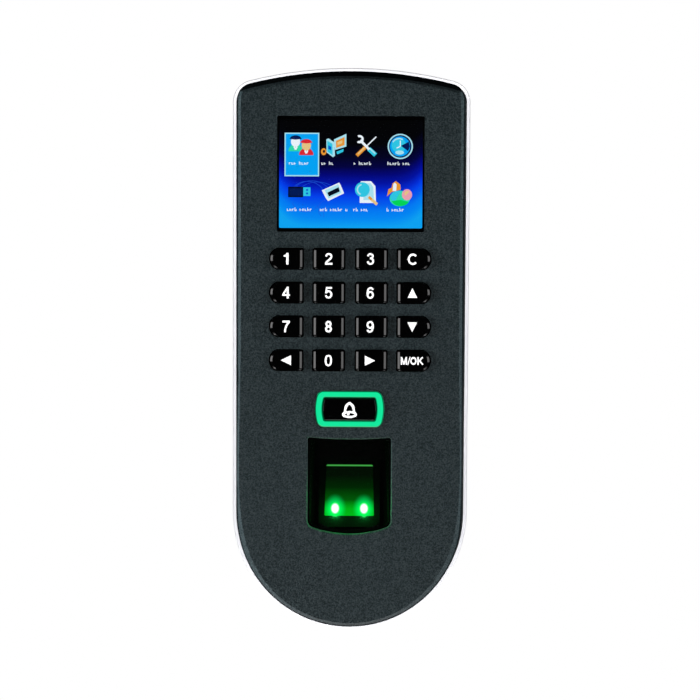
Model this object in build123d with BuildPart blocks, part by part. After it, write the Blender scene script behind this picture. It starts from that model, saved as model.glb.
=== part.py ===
from build123d import *
import os
from math import atan, cos, degrees, radians, sin, sqrt

# Wall-mounted fingerprint terminal, millimetres.
# X is right as seen by a person facing the terminal, Z is up, and the wall is the plane Y = 0.
# Everything stands out from the wall towards -Y, so a "depth" is a distance in front of the wall.
# The origin is the centre of the wall plate's hole pattern, on the wall plane.

os.makedirs("parts", exist_ok=True)

# ---------------------------------------------------------------- driving dimensions
# outline of the shell, seen from the front
CROWN_Z = 96.5  # highest point of the crown
CROWN_R = 145.0  # radius of the shallow crown arc
CORNER_R = 6.6  # shoulders between crown and sides
CORNER_MIN_R = 1.0
SHOULDER_X = 40.2  # half width at the shoulders
CHIN_R = 39.75  # radius of the round chin
CHIN_Z = -57.25  # height of the chin's centre

# depths of the main layers
BACK_D = 0.3  # rear housing's back rim
PLATE_D = 1.2  # front of the wall plate
SEAT_D = 1.4  # floor of the recess that the wall plate sits in
SHELF_D = 3.4  # inner face of the rear housing's border
POCKET_D = 5.0  # floor of the wiring pocket behind the housing
PAN_D = 7.0  # inner face of the pan that closes the wiring pocket
TRIM_BACK_D = 28.0
TRIM_FRONT_D = 31.0
INNER_FACE_D = 39.8  # inner side of the front face
FACE_D = 42.0  # front face

WALL = 2.2
REAR_WALL = 2.0
TRIM_PROUD = 1.2  # how far the bright frame stands out past the front cover
TRIM_W = 3.1
COVER_DRAFT_IN = 1.1  # how far the cover's sides lean in over its height
REAR_DRAFT_IN = 2.6
EDGE_CHAMFER = 1.3
CROWN_BEVEL = 2.5  # the crown's edge is bevelled more than the sides
REAR_INSET = 1.0
COVER_DRAFT = degrees(atan(COVER_DRAFT_IN / (FACE_D - TRIM_FRONT_D)))
REAR_DRAFT = degrees(atan(REAR_DRAFT_IN / (TRIM_BACK_D - BACK_D)))

# display
LCD_Z = 60.2
WINDOW_W = 50.7
WINDOW_H = 39.8
ACTIVE_W = 48.96  # active area of a 2.4 inch, 4:3 panel
ACTIVE_H = 36.72
LENS_SEAT_D = 40.2
TAPE_T = 0.2
LENS_T = 1.2
LCD_W = 58.0
LCD_H = 42.6

# keys
KEY_TOP_Z = 31.0
KEY_PITCH_Z = 11.63
KEY_H = 7.6
KEY_INNER_X = 7.32
KEY_INNER_W = 11.4
KEY_OUTER_NEAR = 15.9
KEY_OUTER_FAR = 27.97
KEY_END_R = 4.0
KEY_CORNER_R = 0.8
KEY_GAP = 0.3  # play between a key and its opening
KEY_PROUD_D = 42.8
KEY_FLANGE = 0.5  # how far a key's flange reaches behind the cover
KEY_BASE_D = 38.9
KEY_FLANGE_D = 39.65
KEY_POST_R = 1.6
KEY_POST_D = 37.4
KEY_SHOULDER_W = 0.3  # steep edge at the left and right of a key's cap
KEY_SHOULDER_H = 0.5
KEY_BEVEL_W = 0.7  # flatter bevel inside it
KEY_BEVEL_H = 0.42
KEY_NAMES = (
    ("key_1", "key_2", "key_3", "key_clear"),
    ("key_4", "key_5", "key_6", "key_up"),
    ("key_7", "key_8", "key_9", "key_down"),
    ("key_left", "key_0", "key_right", "key_ok"),
)

# doorbell button and the light ring round it
RING_Z = -20.7
RING_W = 23.75
RING_H = 12.5
RING_HOLE_W = 18.7
RING_HOLE_H = 7.95
RING_BOW = 1.2  # how far the ends of the ring bulge
RING_R = 2.5
RING_HOLE_BOW = 0.6
RING_BASE_D = 39.0
RING_FLANGE = 1.2
RING_PROUD_D = 42.5
BELL_GAP = 0.25
BELL_PROUD_D = 42.7
BELL_FLANGE_D = 38.8
BELL_BASE_D = 38.1

# finger well and optical sensor
WELL_HALF = 14.4
WELL_TOP_Z = -31.1
WELL_TOP_RISE = 0.7  # the top edge sags by this much in the middle
WELL_FOOT_Z = -63.7
WELL_FOOT_RISE = 2.8  # the bottom edge bulges down by this much
WELL_FOOT_R = 2.6
GUIDE_RIM_D = 41.4
GUIDE_BACK_D = 26.0
GUIDE_WALL = 0.7
GUIDE_NARROWING = 2.0
TILT = 20.7  # the sensor's face leans back by this angle
SENSOR_FOOT_Z = -57.7
SENSOR_FOOT_D = 39.5
SENSOR_L = 18.5
SENSOR_FOOT_W = 17.2
SENSOR_TOP_W = 16.2
BEZEL_H = 0.9

# boards
BOARD_T = 1.6
MAIN_D = 33.4  # rear face of the main board
MAIN_FRONT_D = MAIN_D + BOARD_T
MAIN_HALF = 29.6
MAIN_TOP_Z = 81.9
MAIN_FOOT_Z = -28.6
POWER_D = 9.0
POWER_FRONT_D = POWER_D + BOARD_T
POWER_HALF = 26.0

# screws that hold the two shells together
SHELL_SCREWS = ((-32.5, 84.8), (32.5, 84.8), (-32.6, -22.0), (32.6, -22.0), (-14.0, -79.5), (14.0, -79.5))
SHELL_SHANK_R = 1.2
SHELL_HEAD_R = 2.3
SHELL_HEAD_D = 24.0  # seat under the screw's head
BOARD_SCREWS = ((-27.0, 37.1), (27.0, 37.1), (-27.0, -11.6), (27.0, -11.6))
GUIDE_SCREWS = ((-20.0, -37.0), (20.0, -37.0), (-20.0, -57.0), (20.0, -57.0))
POWER_SCREWS = ((-22.5, 18.0), (22.5, 18.0), (-22.5, -66.0), (22.5, -66.0))
SMALL_SHANK_R = 0.85
SMALL_SHANK_L = 3.6
SMALL_HEAD_R = 1.7
SMALL_HEAD_T = 1.1
GUIDE_EAR_D = 37.0  # rear face of the finger guide's ears
GUIDE_EAR_T = 1.2
FIT = 0.02  # radial play between a screw's shank and its hole

# wall plate
PLATE_HALF = 27.0
PLATE_TOP_Z = 78.0
PLATE_FOOT_Z = -86.0
PLATE_HOLE_X = 20.0
PLATE_HOLE_Z = 60.0
PLATE_HOLE_R = 2.2
LOCK_D = 2.9  # depth of the locking screw's axis
NOTCH_Z = -90.0
NOTCH_HALF = 9.5
NOTCH_D = 20.0
TAMPER_AT = (17.0, -40.0)
RESET_AT = (-17.0, -30.0)
OUTLET_HALF = 14.0
OUTLET_TOP_Z = 22.0
OUTLET_FOOT_Z = -20.0

# sockets
TERMINAL_HALF = 20.0  # opening in the pan for the wiring terminals
TERMINAL_TOP_Z = 14.0
TERMINAL_FOOT_Z = -12.0
SOCKET_W = 13.2  # USB socket
SOCKET_H = 5.7
SOCKET_AXIS_D = POWER_FRONT_D + SOCKET_H / 2


# ---------------------------------------------------------------- planes and outlines
def facing(depth):
    """Plane parallel to the wall at this depth, looking out into the room; local y is up."""
    return Plane(origin=(0, -depth, 0), x_dir=(1, 0, 0), z_dir=(0, -1, 0))


def tilted(height):
    """Plane along the sensor's face, raised by height; local y runs up the slope."""
    normal = (0, -cos(radians(TILT)), sin(radians(TILT)))
    foot = Plane(origin=(0, -SENSOR_FOOT_D, SENSOR_FOOT_Z), x_dir=(1, 0, 0), z_dir=normal)
    return foot.offset(height)


def body_outline(inset):
    """The terminal's outline moved inwards by inset: crown arc, straight sides, round chin."""
    chin = CHIN_R - inset
    shoulder = SHOULDER_X - inset
    crown = CROWN_R - inset
    crown_centre = CROWN_Z - CROWN_R
    shoulder_z = crown_centre + sqrt(crown**2 - shoulder**2)
    with BuildSketch() as outline:
        with BuildLine():
            Line((-chin, CHIN_Z), (-shoulder, shoulder_z))
            ThreePointArc((-shoulder, shoulder_z), (0, crown_centre + crown), (shoulder, shoulder_z))
            Line((shoulder, shoulder_z), (chin, CHIN_Z))
            ThreePointArc((chin, CHIN_Z), (0, CHIN_Z - chin), (-chin, CHIN_Z))
        make_face()
        fillet(outline.vertices().group_by(Axis.Y)[-1], radius=max(CORNER_R - inset, CORNER_MIN_R))
    return outline.sketch


def bowed_outline(width, height, bow, radius):
    """A rectangle at the ring's centre whose left and right ends bulge by bow."""
    half = width / 2 - bow
    top = RING_Z + height / 2
    foot = RING_Z - height / 2
    with BuildSketch() as outline:
        with BuildLine():
            Line((-half, foot), (half, foot))
            ThreePointArc((half, foot), (width / 2, RING_Z), (half, top))
            Line((half, top), (-half, top))
            ThreePointArc((-half, top), (-width / 2, RING_Z), (-half, foot))
        make_face()
        fillet(outline.vertices(), radius=radius)
    return outline.sketch


def key_outline(column, row, inset, narrowing=0.0):
    """Outline of one key, moved inwards by inset and narrowed left and right; outer keys end in an arc."""
    side = -1 if column < 2 else 1
    middle = KEY_TOP_Z - row * KEY_PITCH_Z
    half = KEY_H / 2 - inset
    outer = column in (0, 3)
    if outer:
        near = KEY_OUTER_NEAR + inset + narrowing
        far = KEY_OUTER_FAR - inset - narrowing
        elbow = KEY_OUTER_FAR - KEY_END_R + sqrt((KEY_END_R - inset) ** 2 - half**2) - narrowing
    else:
        near = KEY_INNER_X - KEY_INNER_W / 2 + inset + narrowing
        far = KEY_INNER_X + KEY_INNER_W / 2 - inset - narrowing
        elbow = far
    foot_end = (side * elbow, middle - half)
    top_end = (side * elbow, middle + half)
    with BuildSketch() as outline:
        with BuildLine():
            Polyline(top_end, (side * near, middle + half), (side * near, middle - half), foot_end)
            if outer:
                ThreePointArc(foot_end, (side * far, middle), top_end)
            else:
                Line(foot_end, top_end)
        make_face()
        fillet(outline.vertices(), radius=KEY_CORNER_R)
    return outline.sketch


def key_centre(column, row):
    """Point over a key's plunger."""
    side = -1 if column < 2 else 1
    reach = KEY_INNER_X if column in (1, 2) else (KEY_OUTER_NEAR + KEY_OUTER_FAR) / 2
    return (side * reach, KEY_TOP_Z - row * KEY_PITCH_Z)


def well_outline(inset, narrowing=0.0):
    """Outline of the finger well: nearly flat top edge, straight sides, shallow arc at the foot."""
    half = WELL_HALF - inset - narrowing
    top = WELL_TOP_Z - inset
    foot = WELL_FOOT_Z + inset
    with BuildSketch() as outline:
        with BuildLine():
            ThreePointArc((-half, top + WELL_TOP_RISE), (0, top), (half, top + WELL_TOP_RISE))
            Line((half, top + WELL_TOP_RISE), (half, foot + WELL_FOOT_RISE))
            ThreePointArc((half, foot + WELL_FOOT_RISE), (0, foot), (-half, foot + WELL_FOOT_RISE))
            Line((-half, foot + WELL_FOOT_RISE), (-half, top + WELL_TOP_RISE))
        make_face()
        fillet(outline.vertices().group_by(Axis.Y)[-1], radius=0.8)
        fillet(outline.vertices().group_by(Axis.Y)[0], radius=WELL_FOOT_R - inset)
    return outline.sketch


def upright(half, top, foot, radius):
    """A rounded rectangle centred on X, given by its top and foot heights."""
    with BuildSketch() as outline:
        with Locations((0, (top + foot) / 2)):
            RectangleRounded(2 * half, top - foot, radius)
    return outline.sketch


def sensor_outline(inset):
    """Outline of the sensor's window in the tilted plane, a little wider at its foot."""
    foot = SENSOR_FOOT_W / 2 - inset
    top = SENSOR_TOP_W / 2 - inset
    with BuildSketch() as outline:
        with BuildLine():
            Polyline(
                (-foot, inset),
                (foot, inset),
                (top, SENSOR_L - inset),
                (-top, SENSOR_L - inset),
                close=True,
            )
        make_face()
        fillet(outline.vertices(), radius=0.5)
    return outline.sketch


KEY_GRID = [(column, row) for row in range(4) for column in range(4)]

# ---------------------------------------------------------------- front cover
LIP_INSET = 2.2  # the cover's locating lip stands inside the bright frame
LIP_T = 1.2
LIP_D = 29.4
FRAME_RIB_D = 38.9  # back of the thick border round the display window
FRAME_RIB_SIDE = 2.8
FRAME_RIB_TOP = 2.5
WINDOW_PLAY = 0.2
WELL_RIM_R = 0.45
COVER_BOSS_R = 2.8
BOARD_BOSS_R = 1.6
GUIDE_BOSS_R = 2.2
BOSS_ROOT = 0.5  # bosses run this far into the face they stand on
BELL_CELL_GAP = 0.05  # the light ring is pressed into its cell

with BuildPart() as front_cover:
    with BuildSketch(facing(TRIM_FRONT_D)):
        add(body_outline(0))
    extrude(amount=FACE_D - TRIM_FRONT_D, taper=COVER_DRAFT)
    face_edges = front_cover.faces().sort_by(Axis.Y)[0].edges()
    chamfer(face_edges, length=EDGE_CHAMFER)
    with BuildSketch(facing(FACE_D)):
        with Locations((0, CROWN_Z - CROWN_R)):
            Circle(CROWN_R - COVER_DRAFT_IN - CROWN_BEVEL)
    extrude(amount=-(FACE_D - TRIM_FRONT_D), taper=-45, mode=Mode.INTERSECT)
    with BuildSketch(facing(TRIM_FRONT_D)):
        add(body_outline(WALL))
    extrude(amount=INNER_FACE_D - TRIM_FRONT_D, taper=COVER_DRAFT, mode=Mode.SUBTRACT)
    # locating lip
    with BuildSketch(facing(LIP_D)):
        add(body_outline(LIP_INSET))
        add(body_outline(LIP_INSET + LIP_T), mode=Mode.SUBTRACT)
    extrude(amount=TRIM_FRONT_D - LIP_D + 1.0)
    # thick border round the display window
    with BuildSketch(facing(FRAME_RIB_D)):
        with Locations((0, LCD_Z)):
            Rectangle(WINDOW_W + 2 * FRAME_RIB_SIDE, WINDOW_H + 2 * FRAME_RIB_TOP)
    extrude(amount=INNER_FACE_D - FRAME_RIB_D)
    # window for the lens, with a ledge behind it
    with BuildSketch(facing(FRAME_RIB_D)):
        with Locations((0, LCD_Z)):
            RectangleRounded(ACTIVE_W + 2 * WINDOW_PLAY, ACTIVE_H + 2 * WINDOW_PLAY, 0.5)
    extrude(amount=FACE_D - FRAME_RIB_D, mode=Mode.SUBTRACT)
    with BuildSketch(facing(LENS_SEAT_D)):
        with Locations((0, LCD_Z)):
            RectangleRounded(WINDOW_W, WINDOW_H, 0.6)
    extrude(amount=FACE_D - LENS_SEAT_D, mode=Mode.SUBTRACT)
    # key cells
    with BuildSketch(facing(INNER_FACE_D)):
        for column, row in KEY_GRID:
            add(key_outline(column, row, 0))
    extrude(amount=FACE_D - INNER_FACE_D, mode=Mode.SUBTRACT)
    # cell for the light ring
    with BuildSketch(facing(INNER_FACE_D)):
        add(bowed_outline(RING_W + 2 * BELL_CELL_GAP, RING_H + 2 * BELL_CELL_GAP, RING_BOW, RING_R))
    extrude(amount=FACE_D - INNER_FACE_D, mode=Mode.SUBTRACT)
    # finger well
    with BuildSketch(facing(INNER_FACE_D)):
        add(well_outline(0))
    extrude(amount=FACE_D - INNER_FACE_D, mode=Mode.SUBTRACT)
    well_rim = front_cover.faces().sort_by(Axis.Y)[0].edges()
    well_rim = well_rim.filter_by(lambda edge: abs(edge.center().X) < WELL_HALF + 1)
    well_rim = well_rim.filter_by(lambda edge: WELL_FOOT_Z - 1 < edge.center().Z < WELL_TOP_Z + 1)
    fillet(well_rim, radius=WELL_RIM_R)
    # bosses for the screws that join the shells, run back to meet the rear housing's bosses
    with BuildSketch(facing(TRIM_FRONT_D)):
        with Locations(*SHELL_SCREWS):
            Circle(COVER_BOSS_R)
    extrude(amount=INNER_FACE_D - TRIM_FRONT_D + BOSS_ROOT)
    with BuildSketch(facing(TRIM_FRONT_D)):
        with Locations(*SHELL_SCREWS):
            Circle(SHELL_SHANK_R + FIT)
    extrude(amount=6.0, mode=Mode.SUBTRACT)
    # bosses for the main board
    with BuildSketch(facing(MAIN_FRONT_D)):
        with Locations(*BOARD_SCREWS):
            Circle(BOARD_BOSS_R)
    extrude(amount=INNER_FACE_D - MAIN_FRONT_D + BOSS_ROOT)
    with BuildSketch(facing(MAIN_FRONT_D)):
        with Locations(*BOARD_SCREWS):
            Circle(SMALL_SHANK_R + FIT)
    extrude(amount=4.0, mode=Mode.SUBTRACT)
    # bosses for the finger guide
    guide_boss_d = GUIDE_EAR_D + GUIDE_EAR_T
    with BuildSketch(facing(guide_boss_d)):
        with Locations(*GUIDE_SCREWS):
            Circle(GUIDE_BOSS_R)
    extrude(amount=INNER_FACE_D - guide_boss_d + BOSS_ROOT)
    with BuildSketch(facing(guide_boss_d)):
        with Locations(*GUIDE_SCREWS):
            Circle(SMALL_SHANK_R + FIT)
    extrude(amount=2.6, mode=Mode.SUBTRACT)
front_cover.part.label = "front_cover"
export_step(front_cover.part, "parts/front_cover.step")

# ---------------------------------------------------------------- bright frame
with BuildPart() as trim_frame:
    with BuildSketch(facing(TRIM_BACK_D)):
        add(body_outline(-TRIM_PROUD))
        add(body_outline(TRIM_W - TRIM_PROUD), mode=Mode.SUBTRACT)
    extrude(amount=TRIM_FRONT_D - TRIM_BACK_D)
    rims = trim_frame.faces().filter_by(Axis.Y).sort_by(Axis.Y)
    fillet(rims[0].outer_wire().edges() + rims[-1].outer_wire().edges(), radius=0.5)
trim_frame.part.label = "trim_frame"
export_step(trim_frame.part, "parts/trim_frame.step")

# ---------------------------------------------------------------- rear housing
POCKET_INSET = 3.5  # the wiring pocket lies this far inside the wall plate's outline
POCKET_FOOT_Z = PLATE_FOOT_Z + POCKET_INSET
PAN_RIM = 2.0
PLATE_CHIN_INSET = 6.5
TAB_HALF = 6.0
TAB_SLOT_HALF = TAB_HALF + 1.5
TAB_SLOT_Z = -87.4
HOOK_X = 14.0
HOOK_Z = 68.0
HOOK_W = 8.0
SPEAKER_Z = 48.0
SPEAKER_R = 12.0
SOUND_SLOTS = [(0, SPEAKER_Z + 3.6 * step) for step in (-2, -1, 0, 1, 2)]
NOTCH_ROOF_Z = -88.0  # inner face of the flat wall over the notch
NOTCH_FOOT_Z = -96.0
NOTCH_WALL = 2.0
PLATE_PLAY = 0.4
REAR_BOSS_R = 3.3
REAR_BOSS_NARROW_R = 2.8  # the middle pair stands close to the main board
POWER_BOSS_R = 2.2
PEEPHOLE_R = 2.4  # openings for the tamper plunger and the reset button


def plate_outline(growth):
    """The wall plate's outline, grown by this much; its foot follows the chin."""
    with BuildSketch() as outline:
        add(upright(PLATE_HALF + growth, PLATE_TOP_Z + growth, PLATE_FOOT_Z - growth, 4 + growth))
        add(body_outline(PLATE_CHIN_INSET - growth), mode=Mode.INTERSECT)
    return outline.sketch


with BuildPart() as rear_housing:
    with BuildSketch(facing(TRIM_BACK_D)):
        add(body_outline(REAR_INSET))
    extrude(amount=-(TRIM_BACK_D - BACK_D), taper=REAR_DRAFT)
    fillet(rear_housing.faces().sort_by(Axis.Y)[-1].edges(), radius=1.0)
    with BuildSketch(facing(TRIM_BACK_D)):
        add(body_outline(REAR_INSET + REAR_WALL))
    extrude(amount=-(TRIM_BACK_D - SHELF_D), taper=REAR_DRAFT, mode=Mode.SUBTRACT)
    # pan over the wiring pocket
    with BuildSketch(facing(SEAT_D)):
        add(plate_outline(PAN_RIM - POCKET_INSET))
        add(upright(TAB_SLOT_HALF + 2, POCKET_FOOT_Z, TAB_SLOT_Z - 1.5, 1))
    extrude(amount=PAN_D - SEAT_D)
    # flat wall over the notch at the foot
    with BuildSketch(facing(BACK_D)):
        add(upright(NOTCH_HALF + NOTCH_WALL, NOTCH_ROOF_Z, NOTCH_Z, 0.1))
    extrude(amount=NOTCH_D + NOTCH_WALL - BACK_D)
    with BuildSketch(facing(NOTCH_D)):
        add(upright(NOTCH_HALF + NOTCH_WALL, NOTCH_ROOF_Z, NOTCH_FOOT_Z, 0.1))
        add(body_outline(REAR_INSET + 1.2), mode=Mode.INTERSECT)
    extrude(amount=NOTCH_WALL)
    # recess for the wall plate, and the deeper pocket for wires and screw heads
    with BuildSketch(facing(0)):
        add(plate_outline(PLATE_PLAY))
    extrude(amount=SEAT_D, mode=Mode.SUBTRACT)
    with BuildSketch(facing(0)):
        add(plate_outline(-POCKET_INSET))
        add(upright(TAB_SLOT_HALF, POCKET_FOOT_Z + 1, TAB_SLOT_Z, 0.5))
    extrude(amount=POCKET_D, mode=Mode.SUBTRACT)
    # notch at the foot
    with BuildSketch(facing(0)):
        add(upright(NOTCH_HALF, NOTCH_Z, NOTCH_Z - 10, 0.5))
    extrude(amount=NOTCH_D, mode=Mode.SUBTRACT)
    # hole for the locking screw and the socket's opening, both in the notch's flat wall
    with BuildSketch(Plane.XY.offset(NOTCH_Z - 1)):
        with Locations((0, -LOCK_D)):
            Circle(SHELL_SHANK_R + 0.3)
        with Locations((0, -SOCKET_AXIS_D)):
            RectangleRounded(SOCKET_W + 0.6, SOCKET_H + 0.7, 0.6)
    extrude(amount=4.0, mode=Mode.SUBTRACT)
    # openings in the pan: wiring terminals, hooks, sound slots and the tamper switch
    with BuildSketch(facing(POCKET_D - 1)):
        add(upright(TERMINAL_HALF, TERMINAL_TOP_Z, TERMINAL_FOOT_Z, 1.5))
        with Locations((-HOOK_X, HOOK_Z + 1.3), (HOOK_X, HOOK_Z + 1.3)):
            Rectangle(HOOK_W + 1.6, 6.6)
        with Locations(*SOUND_SLOTS):
            SlotOverall(13, 1.6)
        with Locations(TAMPER_AT, RESET_AT):
            Circle(PEEPHOLE_R)
    extrude(amount=PAN_D - POCKET_D + 2, mode=Mode.SUBTRACT)
    # bosses for the shell screws, each with a deep well for the screw's head
    with BuildSketch(facing(SEAT_D)):
        with Locations(*SHELL_SCREWS[:2], *SHELL_SCREWS[4:]):
            Circle(REAR_BOSS_R)
        with Locations(*SHELL_SCREWS[2:4]):
            Circle(REAR_BOSS_NARROW_R)
    extrude(amount=TRIM_FRONT_D - SEAT_D)
    with BuildSketch(facing(0)):
        with Locations(*SHELL_SCREWS):
            Circle(SHELL_HEAD_R + 0.2)
    extrude(amount=SHELL_HEAD_D, mode=Mode.SUBTRACT)
    with BuildSketch(facing(SHELL_HEAD_D - 1)):
        with Locations(*SHELL_SCREWS):
            Circle(SHELL_SHANK_R + 0.1)
    extrude(amount=TRIM_FRONT_D - SHELL_HEAD_D + 1, mode=Mode.SUBTRACT)
    # bosses for the power board and a collar for the speaker
    with BuildSketch(facing(PAN_D - 0.5)):
        with Locations(*POWER_SCREWS):
            Circle(POWER_BOSS_R)
    extrude(amount=POWER_D - PAN_D + 0.5)
    with BuildSketch(facing(PAN_D - 1.5)):
        with Locations(*POWER_SCREWS):
            Circle(SMALL_SHANK_R + FIT)
    extrude(amount=POWER_D - PAN_D + 1.5, mode=Mode.SUBTRACT)
    with BuildSketch(facing(PAN_D - 0.5)):
        with Locations((0, SPEAKER_Z)):
            Circle(SPEAKER_R + 1.5)
            Circle(SPEAKER_R + 0.1, mode=Mode.SUBTRACT)
    extrude(amount=2.5)
rear_housing.part.label = "rear_housing"
export_step(rear_housing.part, "parts/rear_housing.step")

# ---------------------------------------------------------------- wall plate
PLATE_SLOT_Z = (54, 38, -34, -50, -66)
PLATE_SLOT_W = 18.0
PLATE_SLOT_H = 6.0
TAB_T = 1.2
TAB_DEPTH = 4.6
HOOK_REACH_D = 8.6
HOOK_T = 1.2
HOOK_TIP_H = 3.0

with BuildPart() as wall_plate:
    with BuildSketch(facing(0)):
        add(plate_outline(0))
        add(upright(OUTLET_HALF, OUTLET_TOP_Z, OUTLET_FOOT_Z, 3), mode=Mode.SUBTRACT)
        with GridLocations(2 * PLATE_HOLE_X, 2 * PLATE_HOLE_Z, 2, 2):
            Circle(PLATE_HOLE_R, mode=Mode.SUBTRACT)
        # slots that lighten the plate
        with Locations(*[(0, z) for z in PLATE_SLOT_Z]):
            SlotOverall(PLATE_SLOT_W, PLATE_SLOT_H, mode=Mode.SUBTRACT)
    extrude(amount=PLATE_D)
    # tab at the foot that takes the locking screw
    with BuildSketch(facing(0)):
        with Locations((0, PLATE_FOOT_Z + TAB_T / 2)):
            Rectangle(2 * TAB_HALF, TAB_T)
    extrude(amount=TAB_DEPTH)
    with BuildSketch(Plane.XY.offset(PLATE_FOOT_Z - 1)):
        with Locations((0, -LOCK_D)):
            Circle(SHELL_SHANK_R + FIT)
    extrude(amount=TAB_T + 2, mode=Mode.SUBTRACT)
    # two hooks that the housing hangs on
    for x in (-HOOK_X, HOOK_X):
        with BuildSketch(Plane.YZ.offset(x - HOOK_W / 2)):
            with BuildLine():
                Polyline(
                    (-0.2, HOOK_Z - HOOK_T),
                    (-HOOK_REACH_D, HOOK_Z - HOOK_T),
                    (-HOOK_REACH_D, HOOK_Z + HOOK_TIP_H),
                    (HOOK_T - HOOK_REACH_D, HOOK_Z + HOOK_TIP_H),
                    (HOOK_T - HOOK_REACH_D, HOOK_Z),
                    (-0.2, HOOK_Z),
                    close=True,
                )
            make_face()
        extrude(amount=HOOK_W)
wall_plate.part.label = "wall_plate"
export_step(wall_plate.part, "parts/wall_plate.step")


# ---------------------------------------------------------------- screws
def pan_head_screw(base, shank_r, head_r, head_t, length):
    """Pan-head screw with a cross recess; base is under its head and looks along the shank."""
    with BuildPart() as screw:
        with BuildSketch(base):
            Circle(head_r)
        extrude(amount=-head_t)
        with BuildSketch(base):
            Circle(shank_r)
        extrude(amount=length)
        with BuildSketch(base.offset(-head_t)):
            Rectangle(head_r * 1.15, head_r * 0.28)
            Rectangle(head_r * 0.28, head_r * 1.15)
        extrude(amount=head_t * 0.55, mode=Mode.SUBTRACT)
    return screw.part


with BuildPart() as shell_screws:
    for x, z in SHELL_SCREWS:
        base = Plane(origin=(x, -SHELL_HEAD_D, z), x_dir=(1, 0, 0), z_dir=(0, -1, 0))
        add(pan_head_screw(base, SHELL_SHANK_R, SHELL_HEAD_R, 1.8, 12.0))
shell_screws.part.label = "shell_screws"
export_step(shell_screws.part, "parts/shell_screws.step")

# the same small screw holds the main board, the finger guide and the power board
SMALL_SCREWS = (
    [(x, MAIN_D, z, -1) for x, z in BOARD_SCREWS]
    + [(x, GUIDE_EAR_D, z, -1) for x, z in GUIDE_SCREWS]
    + [(x, POWER_FRONT_D, z, 1) for x, z in POWER_SCREWS]
)

with BuildPart() as small_screws:
    for x, depth, z, way in SMALL_SCREWS:
        base = Plane(origin=(x, -depth, z), x_dir=(1, 0, 0), z_dir=(0, way, 0))
        add(pan_head_screw(base, SMALL_SHANK_R, SMALL_HEAD_R, SMALL_HEAD_T, SMALL_SHANK_L))
small_screws.part.label = "small_screws"
export_step(small_screws.part, "parts/small_screws.step")

with BuildPart() as lock_screw:
    add(pan_head_screw(Plane.XY.move(Location((0, -LOCK_D, NOTCH_Z))), SHELL_SHANK_R, 2.1, 1.6, 6.6))
lock_screw.part.label = "lock_screw"
export_step(lock_screw.part, "parts/lock_screw.step")


# ---------------------------------------------------------------- display
def display_layer(width, height, hole_w, hole_h, radius):
    """A flat layer centred on the display, with a hole in it where hole_w is more than 0."""
    with BuildSketch() as layer:
        with Locations((0, LCD_Z)):
            RectangleRounded(width, height, radius)
            if hole_w > 0:
                RectangleRounded(hole_w, hole_h, 0.4, mode=Mode.SUBTRACT)
    return layer.sketch


LENS_BACK_D = LENS_SEAT_D + TAPE_T
GASKET_T = 0.7
GLASS_T = 1.2
GLASS_D = FRAME_RIB_D - GASKET_T - GLASS_T

with BuildPart() as lens_tape:
    with BuildSketch(facing(LENS_SEAT_D)):
        add(display_layer(WINDOW_W - 0.3, WINDOW_H - 0.3, ACTIVE_W + 0.5, ACTIVE_H + 0.5, 0.5))
    extrude(amount=TAPE_T)
lens_tape.part.label = "lens_tape"
export_step(lens_tape.part, "parts/lens_tape.step")

with BuildPart() as display_lens:
    with BuildSketch(facing(LENS_BACK_D)):
        add(display_layer(WINDOW_W - 0.2, WINDOW_H - 0.2, 0, 0, 0.5))
    extrude(amount=LENS_T)
    chamfer(display_lens.faces().sort_by(Axis.Y)[0].edges(), length=0.15)
display_lens.part.label = "display_lens"
export_step(display_lens.part, "parts/display_lens.step")

with BuildPart() as lcd_gasket:
    with BuildSketch(facing(FRAME_RIB_D - GASKET_T)):
        add(display_layer(WINDOW_W + 5.0, WINDOW_H + 1.8, ACTIVE_W + 1.4, ACTIVE_H + 1.2, 0.5))
    extrude(amount=GASKET_T)
lcd_gasket.part.label = "lcd_gasket"
export_step(lcd_gasket.part, "parts/lcd_gasket.step")

with BuildPart() as lcd_glass:
    with BuildSketch(facing(GLASS_D)):
        add(display_layer(LCD_W - 1.4, LCD_H - 0.8, 0, 0, 0.3))
    extrude(amount=GLASS_T)
lcd_glass.part.label = "lcd_glass"
export_step(lcd_glass.part, "parts/lcd_glass.step")

with BuildPart() as lcd_backlight:
    with BuildSketch(facing(MAIN_FRONT_D)):
        add(display_layer(LCD_W, LCD_H, 0, 0, 0.5))
    extrude(amount=GLASS_D - MAIN_FRONT_D)
lcd_backlight.part.label = "lcd_backlight"
export_step(lcd_backlight.part, "parts/lcd_backlight.step")

# flex tail from the glass, over the main board's top edge, down to a connector behind the board
FLEX_T = 0.2
FLEX_W = 22.0
FLEX_TOP_Z = MAIN_TOP_Z + 1.0
flex_start = GLASS_D + 0.5
flex_end = MAIN_D - 1.0

with BuildPart() as lcd_flex:
    with BuildSketch(Plane.YZ.offset(-FLEX_W / 2)):
        with BuildLine():
            FilletPolyline(
                (-flex_start, LCD_Z + LCD_H / 2 - 0.35),
                (-flex_start, FLEX_TOP_Z),
                (-flex_end, FLEX_TOP_Z),
                (-flex_end, 75.0),
                radius=0.6,
            )
            offset(amount=FLEX_T, side=Side.LEFT)
        make_face()
    extrude(amount=FLEX_W)
lcd_flex.part.label = "lcd_flex"
export_step(lcd_flex.part, "parts/lcd_flex.step")

# ---------------------------------------------------------------- main board and what is on it
with BuildPart() as main_board:
    with BuildSketch(facing(MAIN_D)):
        add(upright(MAIN_HALF, MAIN_TOP_Z, MAIN_FOOT_Z, 1.0))
        with Locations(*BOARD_SCREWS):
            Circle(SMALL_SHANK_R + 0.15, mode=Mode.SUBTRACT)
    extrude(amount=BOARD_T)
main_board.part.label = "main_board"
export_step(main_board.part, "parts/main_board.step")


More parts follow.
